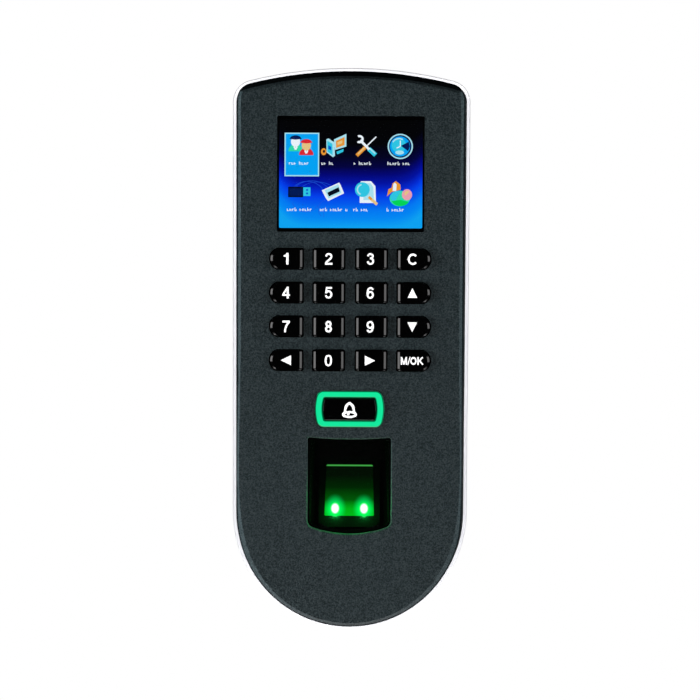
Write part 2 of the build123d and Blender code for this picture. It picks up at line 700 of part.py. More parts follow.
def chip(x, z, width, height, thickness):
    """A chip or connector standing on the main board's rear face."""
    with BuildPart() as body:
        with BuildSketch(facing(MAIN_D)):
            with Locations((x, z)):
                Rectangle(width, height)
        extrude(amount=-thickness)
        chamfer(body.faces().sort_by(Axis.Y)[-1].edges(), length=0.2)
    return body.part


with BuildPart() as main_board_chips:
    add(chip(-8, 34, 17, 17, 1.6))
    add(chip(14, 34, 12, 18, 1.2))
    add(chip(14, 10, 9, 9, 1.0))
    add(chip(-18, 12, 10, 6, 1.4))
    add(chip(-4, 10, 5, 5, 1.0))
    add(chip(-10, -18, 16, 4, 4.0))
    add(chip(12, -6, 14, 4, 4.0))
main_board_chips.part.label = "main_board_chips"
export_step(main_board_chips.part, "parts/main_board_chips.step")

# coin cell that keeps the clock running, in its holder behind the display
CELL_X = -15.0
CELL_Z = 61.0
CELL_R = 10.0
CELL_T = 3.2

with BuildPart() as cell_holder:
    with BuildSketch(facing(MAIN_D)):
        with Locations((CELL_X, CELL_Z)):
            Circle(CELL_R + 1.6)
    extrude(amount=-4.2)
    with BuildSketch(facing(MAIN_D - 0.9)):
        with Locations((CELL_X, CELL_Z)):
            Circle(CELL_R + 0.2)
    extrude(amount=-3.4, mode=Mode.SUBTRACT)
    with BuildSketch(facing(MAIN_D - 0.9)):
        with Locations((CELL_X, CELL_Z - CELL_R)):
            Rectangle(9, 8)
    extrude(amount=-3.4, mode=Mode.SUBTRACT)
cell_holder.part.label = "cell_holder"
export_step(cell_holder.part, "parts/cell_holder.step")

with BuildPart() as clock_cell:
    with BuildSketch(facing(MAIN_D - 0.9)):
        with Locations((CELL_X, CELL_Z)):
            Circle(CELL_R)
    extrude(amount=-CELL_T)
    fillet(clock_cell.faces().sort_by(Axis.Y)[-1].edges(), radius=0.5)
clock_cell.part.label = "clock_cell"
export_step(clock_cell.part, "parts/clock_cell.step")

# ---------------------------------------------------------------- keypad
DOME_R = 2.5
DOME_H = 0.3
MAT_HALF = 28.6
MAT_TOP_Z = 35.2
MAT_FOOT_Z = -9.0
MAT_TONGUE_HALF = 8.0  # part of the mat that runs down under the doorbell button
MAT_TOP_D = 36.4
SKIRT_R = 2.8
SKIRT_BORE_R = 2.05
BELL_SKIRT_H = 0.6
SKIRT_TOP_D = 37.6
PLUNGERS = [key_centre(column, row) for column, row in KEY_GRID]
BELL_PLUNGER = (0, RING_Z)

with BuildPart() as key_domes:
    with BuildSketch(facing(MAIN_FRONT_D)):
        with Locations(*PLUNGERS, BELL_PLUNGER):
            Circle(DOME_R)
    extrude(amount=DOME_H, taper=60)
key_domes.part.label = "key_domes"
export_step(key_domes.part, "parts/key_domes.step")

with BuildPart() as keypad_mat:
    with BuildSketch(facing(MAIN_FRONT_D)):
        add(upright(MAT_HALF, MAT_TOP_Z, MAT_FOOT_Z, 1.5))
        add(upright(MAT_TONGUE_HALF, MAT_FOOT_Z + 1.0, RING_Z - 4.4, 1.5))
    extrude(amount=MAT_TOP_D - MAIN_FRONT_D)
    # collapsible skirts that push the keys back up
    with BuildSketch(facing(MAT_TOP_D)):
        with Locations(*PLUNGERS):
            Circle(SKIRT_R)
            Circle(SKIRT_BORE_R, mode=Mode.SUBTRACT)
    extrude(amount=SKIRT_TOP_D - MAT_TOP_D, taper=8)
    with BuildSketch(facing(MAT_TOP_D)):
        with Locations(BELL_PLUNGER):
            Circle(SKIRT_R)
            Circle(SKIRT_BORE_R, mode=Mode.SUBTRACT)
    extrude(amount=BELL_SKIRT_H, taper=8)
    # pockets over the snap domes
    with BuildSketch(facing(MAIN_FRONT_D)):
        with Locations(*PLUNGERS, BELL_PLUNGER):
            Circle(DOME_R + 0.4)
    extrude(amount=DOME_H + 0.1, mode=Mode.SUBTRACT)
keypad_mat.part.label = "keypad_mat"
export_step(keypad_mat.part, "parts/keypad_mat.step")

bevel_d = KEY_PROUD_D - KEY_BEVEL_H
shoulder_d = bevel_d - KEY_SHOULDER_H

for column, row in KEY_GRID:
    name = KEY_NAMES[row][column]
    with BuildPart() as key:
        with BuildSketch(facing(KEY_BASE_D)):
            add(key_outline(column, row, -KEY_FLANGE))
        extrude(amount=KEY_FLANGE_D - KEY_BASE_D)
        with BuildSketch(facing(KEY_BASE_D)):
            add(key_outline(column, row, KEY_GAP))
        extrude(amount=shoulder_d - KEY_BASE_D)
        # the cap falls away to the left and right in two steps
        with BuildSketch(facing(shoulder_d)):
            add(key_outline(column, row, KEY_GAP))
        with BuildSketch(facing(bevel_d)):
            add(key_outline(column, row, KEY_GAP, KEY_SHOULDER_W))
        loft(ruled=True)
        with BuildSketch(facing(bevel_d)):
            add(key_outline(column, row, KEY_GAP, KEY_SHOULDER_W))
        with BuildSketch(facing(KEY_PROUD_D)):
            add(key_outline(column, row, KEY_GAP, KEY_SHOULDER_W + KEY_BEVEL_W))
        loft(ruled=True)
        with BuildSketch(facing(KEY_POST_D)):
            with Locations(key_centre(column, row)):
                Circle(KEY_POST_R)
        extrude(amount=KEY_BASE_D - KEY_POST_D)
        if name == "key_5":
            # raised dot that a finger can find
            with BuildSketch(facing(KEY_PROUD_D - 0.1)):
                with Locations((-KEY_INNER_X - 3.4, KEY_TOP_Z - row * KEY_PITCH_Z)):
                    Circle(0.4)
            extrude(amount=0.35, taper=30)
    key.part.label = name
    export_step(key.part, f"parts/{name}.step")

# ---------------------------------------------------------------- doorbell button and light ring
RING_LEGS = [(x, RING_Z + z) for x in (-11.6, 11.6) for z in (-5.4, 5.4)]
RING_LEG_R = 0.9
RING_EDGE_R = 0.6
LED_TOP_D = 35.8
BELL_FLANGE = 1.1

bell_w = RING_HOLE_W - 2 * BELL_GAP
bell_h = RING_HOLE_H - 2 * BELL_GAP

with BuildPart() as doorbell_button:
    with BuildSketch(facing(BELL_BASE_D)):
        add(bowed_outline(bell_w + 2 * BELL_FLANGE, bell_h + 1.5, RING_BOW, 1.0))
    extrude(amount=BELL_FLANGE_D - BELL_BASE_D)
    with BuildSketch(facing(BELL_BASE_D)):
        add(bowed_outline(bell_w, bell_h, RING_HOLE_BOW, 0.5))
    extrude(amount=BELL_PROUD_D - BELL_BASE_D)
    fillet(doorbell_button.faces().sort_by(Axis.Y)[0].edges(), radius=0.3)
    with BuildSketch(facing(KEY_POST_D)):
        with Locations(BELL_PLUNGER):
            Circle(KEY_POST_R)
    extrude(amount=BELL_BASE_D - KEY_POST_D)
doorbell_button.part.label = "doorbell_button"
export_step(doorbell_button.part, "parts/doorbell_button.step")

with BuildPart() as ring_light_guide:
    with BuildSketch(facing(RING_BASE_D)):
        add(bowed_outline(RING_W + 2 * RING_FLANGE, RING_H + 2 * RING_FLANGE, RING_BOW, RING_R))
    extrude(amount=INNER_FACE_D - RING_BASE_D)
    with BuildSketch(facing(RING_BASE_D)):
        add(bowed_outline(RING_W, RING_H, RING_BOW, RING_R))
    extrude(amount=RING_PROUD_D - RING_BASE_D)
    with BuildSketch(facing(RING_BASE_D)):
        add(bowed_outline(RING_HOLE_W, RING_HOLE_H, RING_HOLE_BOW, 0.6))
    extrude(amount=RING_PROUD_D - RING_BASE_D, mode=Mode.SUBTRACT)
    fillet(ring_light_guide.faces().sort_by(Axis.Y)[0].edges(), radius=RING_EDGE_R)
    # light pipes down to the lamps on the board
    with BuildSketch(facing(LED_TOP_D + 0.2)):
        with Locations(*RING_LEGS):
            Circle(RING_LEG_R)
    extrude(amount=RING_BASE_D - LED_TOP_D)
ring_light_guide.part.label = "ring_light_guide"
export_step(ring_light_guide.part, "parts/ring_light_guide.step")

with BuildPart() as ring_leds:
    with BuildSketch(facing(MAIN_FRONT_D)):
        with Locations(*RING_LEGS):
            Rectangle(1.6, 1.2)
    extrude(amount=LED_TOP_D - MAIN_FRONT_D)
ring_leds.part.label = "ring_leds"
export_step(ring_leds.part, "parts/ring_leds.step")

# ---------------------------------------------------------------- finger guide and sensor
FLOOR_W = -BEZEL_H  # the guide's floor, below the bezel that frames the glass
FLOOR_T = 1.6
BEZEL_HALF = 10.6
BEZEL_TOP = 21.4
BEZEL_FOOT = -4.0
PRISM_SINK = 0.25  # the glass lies this far below the bezel
HOUSING_TOP_W = FLOOR_W - FLOOR_T
HOUSING_BACK_W = -16.0
HOUSING_HALF = 11.2
SENSOR_EYE = 11.0  # how far up the slope the camera's lens sits
SENSOR_BOARD_T = 1.2
HOUSING_END = 1.8  # the sensor's housing reaches this far past the glass at each end
HOUSING_WALL = 1.6
EAR_W = 45.6
EAR_H = 5.6
LIP_BASE_D = 38.6
LIP_HALF = 10.4
LIP_UPPER_Z = (-59.9, -62.5)  # the lip's upper edge at its ends and in the middle
LIP_LOWER_Z = (-61.9, -63.4)  # the lip's lower edge at its ends and in the middle

with BuildPart() as well_space:
    with BuildSketch(facing(GUIDE_RIM_D + 0.01)):
        add(well_outline(GUIDE_WALL))
    with BuildSketch(facing(GUIDE_BACK_D)):
        add(well_outline(GUIDE_WALL, GUIDE_NARROWING))
    loft(ruled=True)
    split(bisect_by=tilted(FLOOR_W), keep=Keep.TOP)

with BuildPart() as finger_guide:
    with BuildSketch(facing(GUIDE_BACK_D)):
        add(well_outline(0.1))
    extrude(amount=GUIDE_RIM_D - GUIDE_BACK_D)
    with BuildSketch(facing(GUIDE_BACK_D)):
        add(well_outline(-1.4))
    extrude(amount=INNER_FACE_D - 0.1 - GUIDE_BACK_D)
    split(bisect_by=tilted(HOUSING_TOP_W), keep=Keep.TOP)
    # ears behind the cover, for the screws
    with BuildSketch(facing(GUIDE_EAR_D)):
        with Locations((0, GUIDE_SCREWS[0][1]), (0, GUIDE_SCREWS[2][1])):
            SlotOverall(EAR_W, EAR_H)
    extrude(amount=GUIDE_EAR_T)
    with BuildSketch(facing(GUIDE_EAR_D)):
        with Locations(*GUIDE_SCREWS):
            Circle(SMALL_SHANK_R + 0.15)
    extrude(amount=GUIDE_EAR_T, mode=Mode.SUBTRACT)
    # seat for the sensor's housing behind the floor
    with BuildSketch(tilted(HOUSING_TOP_W)):
        with Locations((0, SENSOR_L / 2)):
            Rectangle(2 * HOUSING_HALF + 0.3, SENSOR_L + 2 * HOUSING_END + 0.3)
    extrude(amount=-6.0, mode=Mode.SUBTRACT)
    add(well_space.part, mode=Mode.SUBTRACT)
    # bezel that frames the glass
    with BuildSketch(tilted(FLOOR_W - 0.5)):
        with Locations((0, (BEZEL_TOP + BEZEL_FOOT) / 2)):
            RectangleRounded(2 * BEZEL_HALF, BEZEL_TOP - BEZEL_FOOT, 1.6)
    extrude(amount=BEZEL_H + 0.5)
    # lip at the foot, with the arc that the fingertip lies in
    with BuildSketch(facing(LIP_BASE_D)):
        with BuildLine():
            ThreePointArc((-LIP_HALF, LIP_UPPER_Z[0]), (0, LIP_UPPER_Z[1]), (LIP_HALF, LIP_UPPER_Z[0]))
            Line((LIP_HALF, LIP_UPPER_Z[0]), (LIP_HALF, LIP_LOWER_Z[0]))
            ThreePointArc((LIP_HALF, LIP_LOWER_Z[0]), (0, LIP_LOWER_Z[1]), (-LIP_HALF, LIP_LOWER_Z[0]))
            Line((-LIP_HALF, LIP_LOWER_Z[0]), (-LIP_HALF, LIP_UPPER_Z[0]))
        make_face()
    extrude(amount=GUIDE_RIM_D - 0.1 - LIP_BASE_D)
    # window for the prism
    with BuildSketch(tilted(HOUSING_TOP_W - 1)):
        add(sensor_outline(0))
    extrude(amount=6.0, mode=Mode.SUBTRACT)
finger_guide.part.label = "finger_guide"
export_step(finger_guide.part, "parts/finger_guide.step")

with BuildPart() as sensor_prism:
    with BuildSketch(tilted(HOUSING_TOP_W)):
        add(sensor_outline(0.05))
    extrude(amount=-HOUSING_TOP_W - PRISM_SINK)
    chamfer(sensor_prism.faces().sort_by(Axis.Y)[0].edges(), length=0.2)
    # wedge behind the window, where the light turns
    prism_side = tilted(HOUSING_TOP_W)
    with BuildSketch(Plane(origin=prism_side.origin, x_dir=prism_side.y_dir, z_dir=(1, 0, 0)).offset(-7.9)):
        with BuildLine():
            Polyline((0.4, 0.2), (SENSOR_L - 0.4, 0.2), (10.6, -6.4), (6.9, -6.4), close=True)
        make_face()
    extrude(amount=15.8)
sensor_prism.part.label = "sensor_prism"
export_step(sensor_prism.part, "parts/sensor_prism.step")

with BuildPart() as sensor_housing:
    with BuildSketch(tilted(HOUSING_BACK_W)):
        with Locations((0, SENSOR_L / 2)):
            RectangleRounded(2 * HOUSING_HALF, SENSOR_L + 2 * HOUSING_END, 1.0)
    extrude(amount=HOUSING_TOP_W - HOUSING_BACK_W)
    with BuildSketch(tilted(HOUSING_BACK_W + HOUSING_WALL)):
        with Locations((0, SENSOR_L / 2)):
            Rectangle(2 * (HOUSING_HALF - HOUSING_WALL), SENSOR_L + 2 * (HOUSING_END - HOUSING_WALL))
    extrude(amount=HOUSING_TOP_W - HOUSING_BACK_W, mode=Mode.SUBTRACT)
    with BuildSketch(tilted(HOUSING_BACK_W - 1)):
        with Locations((0, SENSOR_EYE)):
            Circle(3.2)
    extrude(amount=4.0, mode=Mode.SUBTRACT)
sensor_housing.part.label = "sensor_housing"
export_step(sensor_housing.part, "parts/sensor_housing.step")

with BuildPart() as sensor_lens:
    with BuildSketch(tilted(HOUSING_BACK_W)):
        with Locations((0, SENSOR_EYE)):
            Circle(3.1)
    extrude(amount=3.2)
    with BuildSketch(tilted(HOUSING_BACK_W + 2.4)):
        with Locations((0, SENSOR_EYE)):
            Circle(1.6)
    extrude(amount=1.0, mode=Mode.SUBTRACT)
sensor_lens.part.label = "sensor_lens"
export_step(sensor_lens.part, "parts/sensor_lens.step")

with BuildPart() as sensor_board:
    with BuildSketch(tilted(HOUSING_BACK_W - SENSOR_BOARD_T)):
        with Locations((0, SENSOR_L / 2)):
            RectangleRounded(2 * HOUSING_HALF, SENSOR_L + 2 * HOUSING_END, 0.8)
    extrude(amount=SENSOR_BOARD_T)
    with BuildSketch(tilted(HOUSING_BACK_W - SENSOR_BOARD_T - 1.2)):
        with Locations((0, SENSOR_EYE)):
            Rectangle(8, 8)
        with Locations((0, 1.6)):
            Rectangle(14, 3.2)
    extrude(amount=1.2)
sensor_board.part.label = "sensor_board"
export_step(sensor_board.part, "parts/sensor_board.step")

with BuildPart() as sensor_leds:
    with BuildSketch(tilted(HOUSING_BACK_W + HOUSING_WALL)):
        with Locations((0, 2.2)):
            Rectangle(16, 3.6)
    extrude(amount=1.0)
    with BuildSketch(tilted(HOUSING_BACK_W + HOUSING_WALL + 1.0)):
        with Locations((-4.9, 2.2), (4.9, 2.2)):
            Circle(1.4)
    extrude(amount=1.8)
    fillet(sensor_leds.faces().sort_by(Axis.Y).filter_by(GeomType.PLANE)[:2].edges(), radius=0.6)
sensor_leds.part.label = "sensor_leds"
export_step(sensor_leds.part, "parts/sensor_leds.step")

# ---------------------------------------------------------------- card reader's coil, under the chin
COIL_T = 1.6
COIL_OUTER_R = 33.4
COIL_BAND = 2.6
COIL_TOP_Z = -69.5


def chin_segment(radius, top):
    """The part of a disc round the chin's centre that lies below top."""
    half = sqrt(radius**2 - (top - CHIN_Z) ** 2)
    with BuildSketch() as segment:
        with BuildLine():
            Line((-half, top), (half, top))
            ThreePointArc((half, top), (0, CHIN_Z - radius), (-half, top))
        make_face()
        fillet(segment.vertices(), radius=2.0)
    return segment.sketch


with BuildPart() as card_coil:
    with BuildSketch(facing(INNER_FACE_D - COIL_T)):
        add(chin_segment(COIL_OUTER_R, COIL_TOP_Z))
        add(chin_segment(COIL_OUTER_R - COIL_BAND, COIL_TOP_Z - COIL_BAND), mode=Mode.SUBTRACT)
    extrude(amount=COIL_T)
card_coil.part.label = "card_coil"
export_step(card_coil.part, "parts/card_coil.step")

# ---------------------------------------------------------------- power board and what is on it
TONGUE_HALF = 10.0
TERMINAL_X = -2.0
SOCKET_Z = (-6.0, 1.0, 8.0)
TERMINAL_BACK_D = 5.2
SOCKET_FOOT_Z = -89.8
SOCKET_TOP_Z = -76.0

with BuildPart() as power_board:
    with BuildSketch(facing(POWER_D)):
        add(upright(POWER_HALF, 22.0, -70.0, 1.0))
        add(upright(TONGUE_HALF, -69.0, -87.6, 0.8))
        with Locations(*POWER_SCREWS):
            Circle(SMALL_SHANK_R + 0.15, mode=Mode.SUBTRACT)
    extrude(amount=BOARD_T)
power_board.part.label = "power_board"
export_step(power_board.part, "parts/power_board.step")

with BuildPart() as terminal_sockets:
    with BuildSketch(facing(TERMINAL_BACK_D)):
        with Locations(*[(TERMINAL_X, z) for z in SOCKET_Z]):
            Rectangle(30, 5.6)
    extrude(amount=POWER_D - TERMINAL_BACK_D)
    with BuildSketch(facing(TERMINAL_BACK_D)):
        with Locations(*[(TERMINAL_X, z) for z in SOCKET_Z]):
            Rectangle(28, 3.6)
    extrude(amount=2.8, mode=Mode.SUBTRACT)
terminal_sockets.part.label = "terminal_sockets"
export_step(terminal_sockets.part, "parts/terminal_sockets.step")

with BuildPart() as terminal_pins:
    with BuildSketch(facing(TERMINAL_BACK_D + 0.4)):
        for z in SOCKET_Z:
            with Locations((TERMINAL_X, z)):
                with GridLocations(2.5, 1, 10, 1):
                    Rectangle(0.64, 0.64)
    extrude(amount=2.4)
terminal_pins.part.label = "terminal_pins"
export_step(terminal_pins.part, "parts/terminal_pins.step")

with BuildPart() as lock_relay:
    with BuildSketch(facing(POWER_FRONT_D)):
        with Locations((-13.0, 8.0)):
            Rectangle(15.4, 19.0)
    extrude(amount=15.0)
    fillet(lock_relay.faces().sort_by(Axis.Y)[0].edges(), radius=0.6)
lock_relay.part.label = "lock_relay"
export_step(lock_relay.part, "parts/lock_relay.step")

# x, z, width, height and thickness of the coil and the two chips
POWER_CHIPS = ((12, 12, 12, 12, 7.0), (10, -8, 8, 5, 1.6), (-12, -60, 6, 5, 1.6))

with BuildPart() as power_board_chips:
    for x, z, width, height, thickness in POWER_CHIPS:
        with BuildSketch(facing(POWER_FRONT_D)):
            with Locations((x, z)):
                Rectangle(width, height)
        extrude(amount=thickness)
    with BuildSketch(facing(POWER_FRONT_D)):
        with Locations((-20.0, -12.0), (-20.0, -22.0)):
            Circle(3.15)
    extrude(amount=11.0)
power_board_chips.part.label = "power_board_chips"
export_step(power_board_chips.part, "parts/power_board_chips.step")

# USB socket: folded steel shell with a tongue inside, its mouth in the notch's wall
with BuildPart() as usb_socket:
    with BuildSketch(Plane.XY.offset(SOCKET_FOOT_Z)):
        with Locations((0, -SOCKET_AXIS_D)):
            RectangleRounded(SOCKET_W, SOCKET_H, 0.5)
    extrude(amount=SOCKET_TOP_Z - SOCKET_FOOT_Z)
    with BuildSketch(Plane.XY.offset(SOCKET_FOOT_Z)):
        with Locations((0, -SOCKET_AXIS_D)):
            RectangleRounded(SOCKET_W - 0.6, SOCKET_H - 0.6, 0.3)
    extrude(amount=SOCKET_TOP_Z - SOCKET_FOOT_Z - 1.0, mode=Mode.SUBTRACT)
usb_socket.part.label = "usb_socket"
export_step(usb_socket.part, "parts/usb_socket.step")

with BuildPart() as usb_tongue:
    with BuildSketch(Plane.XY.offset(SOCKET_FOOT_Z + 0.8)):
        with Locations((0, -(POWER_FRONT_D + SOCKET_H - 1.6))):
            Rectangle(11.4, 1.6)
    extrude(amount=SOCKET_TOP_Z - 1.0 - SOCKET_FOOT_Z - 0.8)
    chamfer(usb_tongue.faces().sort_by(Axis.Z)[0].edges(), length=0.3)
usb_tongue.part.label = "usb_tongue"
export_step(usb_tongue.part, "parts/usb_tongue.step")

# speaker behind the sound slots
with BuildPart() as speaker:
    with BuildSketch(facing(PAN_D)):
        with Locations((0, SPEAKER_Z)):
            Circle(SPEAKER_R)
            Circle(SPEAKER_R - 1.2, mode=Mode.SUBTRACT)
    extrude(amount=1.6)
    with BuildSketch(facing(PAN_D + 1.0)):
        with Locations((0, SPEAKER_Z)):
            Circle(SPEAKER_R)
    extrude(amount=2.0)
    with BuildSketch(facing(PAN_D + 3.0)):
        with Locations((0, SPEAKER_Z)):
            Circle(7.5)
    extrude(amount=3.0)
    fillet(speaker.faces().sort_by(Axis.Y)[0].edges(), radius=0.6)
speaker.part.label = "speaker"
export_step(speaker.part, "parts/speaker.step")


# ---------------------------------------------------------------- switches behind the housing
SWITCH_H = 1.8
SWITCH_BASE_T = 0.5
PLUNGER_R = 1.3
TAMPER_REACH_D = PLATE_D + 0.1  # the plunger's tip, just off the wall plate
TAMPER_TRAVEL = 0.6
RESET_REACH_D = 5.3
RESET_TRAVEL = 0.4
PLUNGER_PLAY = 0.1


def switch_body(x, z, width, height):
    """A small switch on the power board's rear face, bored for its plunger."""
    with BuildPart() as body:
        with BuildSketch(facing(POWER_D)):
            with Locations((x, z)):
                Rectangle(width, height)
        extrude(amount=-SWITCH_H)
        with BuildSketch(facing(POWER_D - SWITCH_BASE_T)):
            with Locations((x, z)):
                Circle(1.5)
        extrude(amount=-SWITCH_H, mode=Mode.SUBTRACT)
    return body.part


with BuildPart() as tamper_switch:
    add(switch_body(*TAMPER_AT, 7.0, 7.0))
tamper_switch.part.label = "tamper_switch"
export_step(tamper_switch.part, "parts/tamper_switch.step")

with BuildPart() as tamper_plunger:
    with BuildSketch(facing(TAMPER_REACH_D)):
        with Locations(TAMPER_AT):
            Circle(PLUNGER_R)
    extrude(amount=POWER_D - SWITCH_BASE_T - PLUNGER_PLAY - TAMPER_TRAVEL - TAMPER_REACH_D)
    fillet(tamper_plunger.faces().sort_by(Axis.Y)[-1].edges(), radius=0.4)
tamper_plunger.part.label = "tamper_plunger"
export_step(tamper_plunger.part, "parts/tamper_plunger.step")

with BuildPart() as reset_switch:
    add(switch_body(*RESET_AT, 6.0, 6.0))
reset_switch.part.label = "reset_switch"
export_step(reset_switch.part, "parts/reset_switch.step")

with BuildPart() as reset_button:
    with BuildSketch(facing(RESET_REACH_D)):
        with Locations(RESET_AT):
            Circle(PLUNGER_R)
    extrude(amount=POWER_D - SWITCH_BASE_T - PLUNGER_PLAY - RESET_TRAVEL - RESET_REACH_D)
    fillet(reset_button.faces().sort_by(Axis.Y)[-1].edges(), radius=0.3)
reset_button.part.label = "reset_button"
export_step(reset_button.part, "parts/reset_button.step")


# ---------------------------------------------------------------- inner ribbons
def ribbon(x, width, points, radius):
    """A flat ribbon that follows points in the Y-Z plane, centred on x."""
    with BuildPart() as strip:
        with BuildSketch(Plane.YZ.offset(x - width / 2)):
            with BuildLine():
                FilletPolyline(*points, radius=radius)
                offset(amount=0.5, side=Side.LEFT)
            make_face()
        extrude(amount=width)
    return strip.part


# from the sensor's board up to its connector on the main board
with BuildPart() as sensor_ribbon:
    add(ribbon(-10.0, 10.0, ((-20.6, -64.0), (-13.6, -61.0), (-13.6, -34.0), (-29.0, -18.6)), 2.5))
sensor_ribbon.part.label = "sensor_ribbon"
export_step(sensor_ribbon.part, "parts/sensor_ribbon.step")

# from the main board to the power board
with BuildPart() as board_ribbon:
    add(ribbon(12.0, 10.0, ((-29.2, -6.0), (-24.0, -6.0), (-18.0, -24.0), (-11.0, -24.0)), 2.0))
board_ribbon.part.label = "board_ribbon"
export_step(board_ribbon.part, "parts/board_ribbon.step")
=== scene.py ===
from math import cos, pi, radians, sin

import bpy
from mathutils import Matrix, Vector


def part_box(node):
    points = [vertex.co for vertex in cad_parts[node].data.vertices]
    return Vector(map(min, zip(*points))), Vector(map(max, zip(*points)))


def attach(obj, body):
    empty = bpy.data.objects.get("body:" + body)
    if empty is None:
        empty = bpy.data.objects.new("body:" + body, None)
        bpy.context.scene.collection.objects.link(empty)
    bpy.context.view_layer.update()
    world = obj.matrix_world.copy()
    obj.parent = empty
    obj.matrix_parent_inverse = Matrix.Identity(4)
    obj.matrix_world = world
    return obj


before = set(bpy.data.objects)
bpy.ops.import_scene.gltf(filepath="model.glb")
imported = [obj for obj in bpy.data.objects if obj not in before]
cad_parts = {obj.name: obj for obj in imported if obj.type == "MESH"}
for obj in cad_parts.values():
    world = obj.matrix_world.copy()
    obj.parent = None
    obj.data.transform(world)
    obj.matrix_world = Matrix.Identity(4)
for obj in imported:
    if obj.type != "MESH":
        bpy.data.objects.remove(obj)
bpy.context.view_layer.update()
scene = bpy.context.scene
scene.view_settings.view_transform = "Standard"

MM = 0.001  # sizes of the object are in mm, with depths measured out from the wall
LCD_Z = 60.2  # height of the display's centre
ACTIVE_W, ACTIVE_H = 48.96, 36.72  # lit area of the display
WALL_D, BEVEL_D = 40.95, 41.2  # depths where the cover's side walls end and its bevelled face begins, across which the walls' painted shade fades out
LAMP_XS, LAMP_Z = (-4.9, 5.1), -55.3  # the sensor's two lamps
KEYS = [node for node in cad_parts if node.startswith("key_") and node != "key_domes"]


# ---------------------------------------------------------------- materials
def material(name, color, roughness, metallic=0.0, **sockets):
    """A Principled material; other sockets are given by name with _ for spaces."""
    mat = bpy.data.materials.new(name)
    mat.use_nodes = True
    shader = mat.node_tree.nodes["Principled BSDF"]
    shader.inputs["Base Color"].default_value = (*color, 1)
    shader.inputs["Roughness"].default_value = roughness
    shader.inputs["Metallic"].default_value = metallic
    for key, value in sockets.items():
        shader.inputs[key.replace("_", " ")].default_value = value
    return mat


def add_node(mat, kind, **values):
    """A node in a material, with its sockets and settings by name."""
    node = mat.node_tree.nodes.new(kind)
    for key, value in values.items():
        label = key.replace("_", " ")
        if label in node.inputs:
            node.inputs[label].default_value = value
        else:
            setattr(node, key, value)
    return node


def link(mat, source, output, target, socket):
    """Join one node's output to another node's socket."""
    mat.node_tree.links.new(source.outputs[output], target.inputs[socket])


def place(mat):
    """The node that gives a point's own position in metres."""
    found = mat.node_tree.nodes.get("place")
    if not found:
        found = add_node(mat, "ShaderNodeTexCoord")
        found.name = "place"
    return found


def grain(mat, scale, depth, shades=None, detail=2.0, rough=None):
    """Fine surface noise: bumps of this depth in mm, two shades of colour, and a range of roughness."""
    shader = mat.node_tree.nodes["Principled BSDF"]
    noise = add_node(mat, "ShaderNodeTexNoise", Scale=scale, Detail=detail)
    link(mat, place(mat), "Object", noise, "Vector")
    if depth:
        bump = add_node(mat, "ShaderNodeBump", Distance=depth * MM, Strength=1.0)
        link(mat, noise, "Fac", bump, "Height")
        link(mat, bump, "Normal", shader, "Normal")
    if shades:
        ramp = add_node(mat, "ShaderNodeValToRGB")
        ramp.color_ramp.elements[0].position = 0.35
        ramp.color_ramp.elements[0].color = (*shades[0], 1)
        ramp.color_ramp.elements[1].position = 0.65
        ramp.color_ramp.elements[1].color = (*shades[1], 1)
        link(mat, noise, "Fac", ramp, "Fac")
        link(mat, ramp, "Color", shader, "Base Color")
    if rough:
        spread = add_node(mat, "ShaderNodeMapRange")
        spread.inputs["To Min"].default_value = rough[0]
        spread.inputs["To Max"].default_value = rough[1]
        link(mat, noise, "Fac", spread, "Value")
        link(mat, spread, "Result", shader, "Roughness")
    return mat


def pebble(name):
    """The shell's dark plastic with its fine pebble texture."""
    return grain(
        material(name, (0.016, 0.023, 0.026), 0.6, Specular_IOR_Level=0.25),
        2300,
        0.2,
        ((0.003, 0.0065, 0.008), (0.026, 0.0365, 0.0395)),
    )


def cover_face():
    """The pebble texture on the cover's face and bevels, with painted shade on the side walls behind them:
    their colour and sheen fall to about an eighth.
    """
    mat = pebble("pebble_face_painted_shade")
    shader = mat.node_tree.nodes["Principled BSDF"]
    parts = add_node(mat, "ShaderNodeSeparateXYZ")
    link(mat, place(mat), "Object", parts, "Vector")
    # painted shade: from the bevel back onto the side walls, the colour and the sheen drop to 0.12 of the
    # face's
    shade = add_node(mat, "ShaderNodeMapRange")
    shade.inputs["From Min"].default_value = -WALL_D * MM
    shade.inputs["From Max"].default_value = -BEVEL_D * MM
    shade.inputs["To Min"].default_value = 0.12
    link(mat, parts, "Y", shade, "Value")
    color = shader.inputs["Base Color"].links[0].from_socket
    scaled = add_node(mat, "ShaderNodeVectorMath", operation="SCALE")
    mat.node_tree.links.new(color, scaled.inputs[0])
    link(mat, shade, "Result", scaled, "Scale")
    link(mat, scaled, "Vector", shader, "Base Color")
    shaded_sheen = add_node(mat, "ShaderNodeMath", operation="MULTIPLY")
    shaded_sheen.inputs[1].default_value = 0.25
    link(mat, shade, "Result", shaded_sheen, 0)
    link(mat, shaded_sheen, 0, shader, "Specular IOR Level")
    return mat


shell = pebble("pebble_black")
trim = grain(material("satin_silver", (0.86, 0.86, 0.90), 0.45, 0.25), 900, 0.004, None, 3.0, (0.40, 0.50))
steel = grain(
    material("zinc_sheet", (0.62, 0.63, 0.65), 0.38, 1.0),
    260,
    0.006,
    ((0.52, 0.53, 0.55), (0.68, 0.69, 0.70)),
    4.0,
    (0.3, 0.45),
)
gloss = grain(material("piano_black", (0.0006, 0.0006, 0.0007), 0.1), 300, 0.001)
# black plastic, made darker still than its own colour: painted shade for the deep finger well
guide_black_painted_shade = material("guide_black_painted_shade", (0.0012, 0.0018, 0.0015), 0.25, Specular_IOR_Level=0.3)
grain(guide_black_painted_shade, 500, 0.003)
ink = grain(material("white_ink_painted_glow", (0.9, 0.9, 0.9), 0.5), 4000, 0.003)
